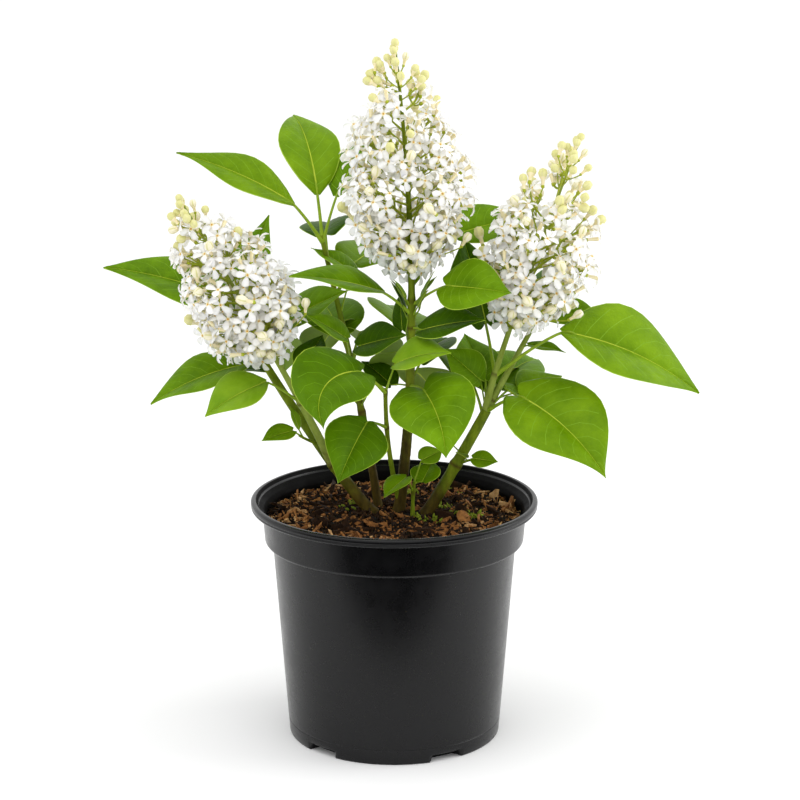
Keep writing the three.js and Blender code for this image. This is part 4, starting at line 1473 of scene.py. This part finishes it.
@dataclass(frozen=True)
class Floret:
    """An open flower: a green cup, a cream tube with an amber eye and four white petals."""

    tube: float = TUBE
    throat: float = 1.4
    petal: float = 6.8
    petal_half: float = 2.5
    petal_rows: tuple[tuple[float, float], ...] = ((0, 0.42), (0.4, 0.9), (0.76, 1.0), (1.0, 0.36))
    curl: float = 22.0
    edge_lift: float = 0.3

    def shapes(self, opening: Array) -> tuple[Array, Array, Array]:
        """Florets about the Z axis, one for each opening.

        A petal's middle line leaves the throat at its opening angle and curls down towards its tip.
        Its half width comes from its rows, its edges turn up, and each row across it is a closed ring
        of four points.

        Args:
            opening: angle of each petal over the floret's face, degrees, (n, 4).

        Returns:
            Points (n, p, 3), the faces of one and their finish numbers: petal 0, tube 1, eye 2,
            cup 3.
        """
        profile = (
            (0, -0.6), (1.3, 0.2), (1.4, 1.9), (1.1, 2.1), (1.65, self.tube), (0.85, self.tube - 0.1),
            (0, self.tube + 0.2),
        )
        core, core_faces = lathe(profile, 5)
        core_slots = np.concatenate([np.repeat([3, 3, 1, 1], 5), np.full(5, 3), np.full(5, 2)])
        u, half = np.array(self.petal_rows).T
        half = self.petal_half * half
        slope = np.radians(opening)[..., None] - math.radians(self.curl) * u
        out = self.throat + self.petal * u * np.cos(slope)
        high = self.tube + self.petal * u * np.sin(slope)
        across = np.stack([-half, 0 * half, half, 0 * half], -1)
        edge = self.edge_lift * half
        lift = np.stack([edge, 0 * half + 0.06, edge, 0 * half - 0.22], -1)
        turn = np.pi / 2 * np.arange(4)[:, None, None]
        reach = out[..., None] + 0 * across
        x = reach * np.cos(turn) - across * np.sin(turn)
        y = reach * np.sin(turn) + across * np.cos(turn)
        petals = np.stack([x, y, high[..., None] + lift], -1).reshape(len(opening), -1, 3)
        one = np.concatenate([grid_faces(4, 4), [[3, 2, 1, 0], [12, 13, 14, 15]]])
        faces = np.concatenate([core_faces, copied(one, 16, 4) + len(core)])
        points = np.concatenate([np.broadcast_to(core, (len(opening), *core.shape)), petals], 1)
        return points, faces, np.concatenate([core_slots, np.zeros(4 * len(one), int)])


@dataclass(frozen=True)
class Bud:
    """A closed flower: a green cup, a cream tube and a round head with four furrows.

    columns gives the angles of one quarter's points, in degrees, furrow the radius over the full
    one in a furrow, and head the height where furrows start.
    """

    columns: tuple[float, ...] = (-11.0, 11.0, 45.0)
    furrow: float = 0.9
    head: float = 6.0
    profile: tuple[tuple[float, float], ...] = (
        (0, -0.6), (1.25, 0.6), (1.05, 2.1), (1.3, 5.4), (2.8, 7.5), (3.4, 9.7), (2.4, 12.2), (0, 13.1),
    )

    def shape(self) -> tuple[Array, Array, Array]:
        """The bud about the Z axis: in each quarter of its head a narrow column lies in a furrow.

        Returns:
            Points, faces and finish numbers: head 0, tube 1, cup 3, furrow 4.
        """
        columns = np.array(self.columns)
        sides = 4 * len(columns)
        points, faces = lathe(self.profile, sides)
        turn = np.radians((columns + 90 * np.arange(4)[:, None]).ravel())
        radius = np.hypot(points[:-2, 0], points[:-2, 1]).reshape(-1, sides)
        sunk = np.where(np.abs(np.tile(columns, 4)) < 45, self.furrow, 1.0)
        radius = np.where(points[:-2, 2].reshape(-1, sides) > self.head, radius * sunk, radius)
        points[:-2, 0] = (radius * np.cos(turn)).ravel()
        points[:-2, 1] = (radius * np.sin(turn)).ravel()
        head = np.tile([4, 0, 0], 4)
        rows = [np.full(sides, slot) for slot in (3, 1, 1)] + [head] * 2
        return points, faces, np.concatenate([*rows, np.full(sides, 3), head])


@dataclass(frozen=True)
class Blooms:
    """Places of flowers: share of the head's height, foot, direction, seed, bud or not, and fork."""

    share: Array
    foot: Array
    along: Array
    seed: Array
    bud: Array
    fork: Array

    def pick(self, chosen: Array) -> "Blooms":
        """The chosen flowers."""
        return Blooms(*(value[chosen] for value in vars(self).values()))

    def joined(self, other: "Blooms") -> "Blooms":
        """These flowers and the other ones."""
        pairs = zip(vars(self).values(), vars(other).values())
        return Blooms(*(np.concatenate(pair) for pair in pairs))


@dataclass(frozen=True)
class Panicle:
    """An upright flower head: side branches wound up a shoot, each with a cluster of flowers.

    start is where the head begins on its shoot, girth its largest radius and widest the share of
    its height where that lies. budding is the stretch over which flowers give way to buds, thin the
    share of flowers missing there, loose the share missing below loose_top, and parting gives the
    phase and width of the waves in which the front opens on the axis. A branch bears a cluster of
    flowers that stand spread apart, fan out and sway, and leans by the first of lean at the bottom
    and by both at the top. Flowers stay clear of leaves, and tiers of buds crown the head.
    """

    solid: str
    shoot: str
    start: float
    girth: float
    widest: float
    branches: int
    budding: tuple[float, float] = (0.7, 0.92)
    thin: float = 0.1
    parting: tuple[float, float] = (0.0, 0.0)
    spread: float = 11.0
    fan: float = 0.7
    cluster: int = 7
    clear: float = 5.0
    top: float = 0.86
    tiers: int = 5
    loose: float = 0.55
    loose_top: float = 0.24
    lean: tuple[float, float] = (8.0, 60.0)
    sway: float = 0.85
    stray_buds: float = 0.15
    bud_reach: float = 4.5

    @property
    def base(self) -> Array:
        """Where the head starts on its shoot."""
        return SHOOTS[self.shoot].at(self.start)

    @property
    def height(self) -> float:
        """Length from the head's base to its shoot's tip."""
        return float(np.linalg.norm(SHOOTS[self.shoot].at(1.0) - self.base))

    @property
    def axis(self) -> Array:
        """Direction from the head's base to its shoot's tip."""
        return (SHOOTS[self.shoot].at(1.0) - self.base) / self.height

    def on_axis(self, share: Array) -> Array:
        """Points of the shoot at shares of the head's height."""
        return SHOOTS[self.shoot].at(self.start + (1 - self.start) * share)

    def spoke(self, turn: Array) -> Array:
        """Unit vectors square to the axis at an angle round it, pi being the front."""
        first, second = cross_frame(self.axis, side_axis(self.axis))
        return np.cos(turn)[..., None] * first + np.sin(turn)[..., None] * second

    def outline(self, share: Array) -> Array:
        """Radius over the widest: a sine up to the widest place, then a falling power curve.

        Args:
            share: shares of the head's height.

        Returns:
            The radii over the girth.
        """
        below = 0.24 + 0.76 * np.sin(0.5 * np.pi * np.clip(share, 0, self.widest) / self.widest)
        above = 1 - 0.86 * (np.clip(share - self.widest, 0, 1) / (1 - self.widest)) ** 1.25
        return np.where(share < self.widest, below, above)

    def parted(self, turn: Array, share: Array) -> Array:
        """Angles moved aside from the front, most at the front itself, in waves up the head.

        The move is the wave's width times exp(-(off / 0.45)^2), off being the angle from the front.

        Args:
            turn: angles round the axis.
            share: shares of the head's height.

        Returns:
            The moved angles.
        """
        off = np.mod(turn, 2 * np.pi) - np.pi
        phase, most = self.parting
        width = most * np.clip(0.3 + 0.9 * np.sin(2 * np.pi * (2.2 * share + phase)), 0, 1)
        return turn + width * np.where(off < 0, -1, 1) * np.exp(-((off / 0.45) ** 2))

    def branch_blooms(self) -> tuple[Blooms, Array, Array]:
        """Flowers of the side branches.

        Branch i stands at share top (1 - (1 - (i + 1) / n)^0.62) and at i golden angles, and leans
        up, more towards the top. Its end flower comes first, the others stand round it and fan out,
        so that their tubes meet at the branch's end. A flower's face is base + share of the height
        along the axis + its reach outward, and its foot lies one tube's length behind the face.

        Returns:
            The flowers, and where each branch leaves the axis and forks.
        """
        i = np.arange(self.branches)[:, None]
        k = np.arange(self.cluster)[None]
        n = i + 61.7 * k
        main = self.top * (1 - (1 - (i + 1) / self.branches) ** 0.62)
        around = 2 * np.pi * (seeded(i + 0.11) + k / (self.cluster - 1))
        gap = self.spread * (1.05 - 0.4 * main) * (0.7 + 0.6 * seeded(n + 0.15)) * (k > 0)
        share = np.minimum(main + gap * np.sin(around) / self.height, 0.95)
        heading = self.parted(np.radians(i * GOLDEN_ANGLE), main)
        angle = heading + gap * np.cos(around) / np.maximum(self.girth * self.outline(main), 9)
        opened = np.clip((share - self.budding[0]) / (self.budding[1] - self.budding[0]), 0, 1)
        bud = seeded(n + 0.37) < self.stray_buds + (1 - self.stray_buds) * opened
        depth = np.where(k % 3 == 2, 0.7, 0.84 + 0.24 * seeded(n)) * (0.82 + 0.34 * seeded(i + 0.7))
        depth = np.minimum(depth, 1.12) * (1 - 0.4 * opened * seeded(n + 0.91))
        reach = self.girth * self.outline(share) * depth + self.bud_reach * bud
        lean = np.radians(self.lean[0] + self.lean[1] * main)[..., None]
        outward, tangent = self.spoke(heading), self.spoke(heading + np.pi / 2)
        ahead = outward * np.cos(lean) + self.axis * np.sin(lean)
        upward = self.axis * np.cos(lean) - outward * np.sin(lean)
        fan = np.where(k > 0, self.fan, 0.0)[..., None]
        sway = np.stack([seeded(n + turn) - 0.5 for turn in (0.61, 0.62, 0.63)], -1)
        round_about = np.cos(around)[..., None] * tangent + np.sin(around)[..., None] * upward
        along = unit(ahead + fan * round_about + self.sway * sway)
        rise = self.height * share + TUBE * np.sin(lean[..., 0])
        face = self.base + self.axis * rise[..., None] + self.spoke(angle) * reach[..., None]
        foot = face - TUBE * along
        below = 0.35 * self.girth * self.outline(main) / self.height
        root = self.on_axis(np.maximum(main - below, 0.01))[:, 0]
        fork = root + 0.6 * (foot[:, 0] - root)
        loose = self.loose * np.clip(1 - share / self.loose_top, 0, 1)
        kept = seeded(n + 0.77) >= self.thin * opened + loose
        forks = np.broadcast_to(fork[:, None], foot.shape)
        blooms = Blooms(share, foot, along, n + 0 * share, bud, forks).pick(kept)
        return blooms, root, fork

    def crown_blooms(self) -> Blooms:
        """Buds of the head's top: one at the tip and pairs below it, each pair square to the last.

        Tier j lies 0.026 j of the height under the tip, reaches 2.5 + 2.3 j mm and leans up by
        82 - 5 j degrees.

        Returns:
            The buds.
        """
        j = np.repeat(np.arange(1, self.tiers + 1), 2)
        j = np.append(j, 0)
        side = np.append(np.tile([0, np.pi], self.tiers), 0)
        n = 400 + 3.1 * np.arange(len(j))
        turn = np.pi / 2 * (j + 1) + side + 0.9 * (seeded(n) - 0.5)
        share = 1 - 0.026 * j
        reach = (2.5 + 2.3 * j * (0.85 + 0.3 * seeded(n + 0.4))) * (j > 0)
        lean = np.radians(np.where(j > 0, 82 - 5 * j, 90))[:, None]
        along = self.spoke(turn) * np.cos(lean) + self.axis * np.sin(lean)
        centre = self.on_axis(share) + self.spoke(turn) * reach[:, None] + self.axis * 6
        foot = centre - 9 * along
        return Blooms(share, foot, along, n, np.ones(len(j), bool), self.on_axis(share - 0.05))

    def build(self, blades: Array) -> None:
        """Makes the panicle's flowers, buds and branches.

        A flower whose face would come nearer to a leaf than the clear distance is left out.

        Args:
            blades: points of the leaves' blades.
        """
        blooms, root, fork = self.branch_blooms()
        blooms = blooms.joined(self.crown_blooms())
        faces = blooms.foot + 9 * blooms.along
        near = np.array([np.min(np.sum((blades - face) ** 2, 1)) for face in faces])
        blooms = blooms.pick((near > self.clear ** 2) & (blooms.share > 0))
        name = self.solid
        self.open_flowers(blooms.pick(~blooms.bud)).piece(
            f"florets_{name}", [PETAL, FLOWER_TUBE, FLOWER_EYE, FLOWER_CUP, PETAL_WARM], "blossom", [name]
        )
        self.buds(blooms.pick(blooms.bud)).piece(
            f"buds_{name}", [BUD_CREAM, FLOWER_TUBE, BUD_GREEN, FLOWER_CUP, BUD_FURROW], "blossom"
        )
        self.stalks(blooms, root, fork).piece(f"branches_{name}", [FLOWER_BRANCH], "foliage")

    @staticmethod
    def open_flowers(blooms: Blooms) -> MeshParts:
        """The open florets, three in ten with warmer petals.

        Args:
            blooms: their places.

        Returns:
            The gathered florets.
        """
        seed = blooms.seed
        petal = seeded(seed[:, None] + 0.27 * np.arange(1, 5))
        opening = 4 + 40 * seeded(seed + 0.21)[:, None] ** 1.3 + 26 * (petal - 0.5)
        points, faces, slots = Floret().shapes(opening)
        size = np.repeat((0.88 + 0.18 * seeded(seed + 0.31))[:, None], 3, 1)
        twist = 2 * np.pi * seeded(seed + 0.41)
        warm = (slots == 0)[None] & (seeded(seed + 0.51) < 0.3)[:, None]
        parts = MeshParts()
        parts.add(
            placed(points, blooms.foot, blooms.along, twist, size),
            copied(faces, points.shape[1], len(seed)),
            np.where(warm, 4, slots[None]).ravel(),
        )
        return parts

    @staticmethod
    def buds(blooms: Blooms) -> MeshParts:
        """The closed buds, greener and smaller towards the top.

        Args:
            blooms: their places.

        Returns:
            The gathered buds.
        """
        seed, share = blooms.seed, blooms.share
        points, faces, slots = Bud().shape()
        size = np.repeat((1.08 - 0.24 * share ** 3 + 0.2 * (seeded(seed + 0.31) - 0.5))[:, None], 3, 1)
        twist = 2 * np.pi * seeded(seed + 0.41)
        green = (seeded(seed + 0.51) < 0.1 + 0.75 * share)[:, None] & (slots == 0)[None]
        parts = MeshParts()
        parts.add(
            placed(points, blooms.foot, blooms.along, twist, size),
            copied(faces, len(points), len(seed)),
            np.where(green, 2, slots[None]).ravel(),
        )
        return parts

    @staticmethod
    def stalks(blooms: Blooms, root: Array, fork: Array) -> MeshParts:
        """The side branches from the shoot, and the flowers' own stalks from each branch.

        Args:
            blooms: the flowers.
            root: where each branch leaves the shoot.
            fork: where each branch forks.

        Returns:
            The gathered stalks.
        """
        step = np.linspace(0, 1, 5)[:, None]
        parts = MeshParts()
        limbs = root[:, None] + step * (fork - root)[:, None]
        points, faces = tubes(limbs, np.broadcast_to(np.linspace(0.95, 0.65, 5), limbs.shape[:2]), 6)
        parts.add(points, faces, 0)
        bow = -1.5 * np.sin(np.pi * step) * blooms.along[:, None]
        lines = blooms.fork[:, None] + step * (blooms.foot - blooms.fork)[:, None] + bow
        points, faces = tubes(lines, np.broadcast_to(np.linspace(0.52, 0.46, 5), lines.shape[:2]), 5)
        parts.add(points, faces, 0)
        return parts


PANICLES = (
    Panicle("panicle_middle", "middle", 0.55, 44, 0.34, 54, parting=(0.6, 0.36), tiers=6),
    Panicle("panicle_left", "leftBough", 0.52, 39, 0.34, 44, parting=(0.3, 0.22)),
    Panicle("panicle_right", "rightA", 0.52, 41, 0.36, 44, (0.5, 0.85), 0.3, (0.5, 0.34)),
)


def main() -> None:
    """Builds the studio, the pot and the plant; each piece logs its face count."""
    logging.basicConfig(level=logging.INFO, format="%(name)s %(message)s")
    Studio().build()
    Pot().build()
    Compost().build()
    for shoot in SHOOTS.values():
        shoot.build()
    blades, seed = [], 0
    for mass in FOLIAGE:
        blades.append(mass.build(seed))
        seed += len(mass.behind)
    for panicle in PANICLES:
        panicle.build(np.concatenate(blades))
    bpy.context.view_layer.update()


if __name__ == "__main__":
    main()
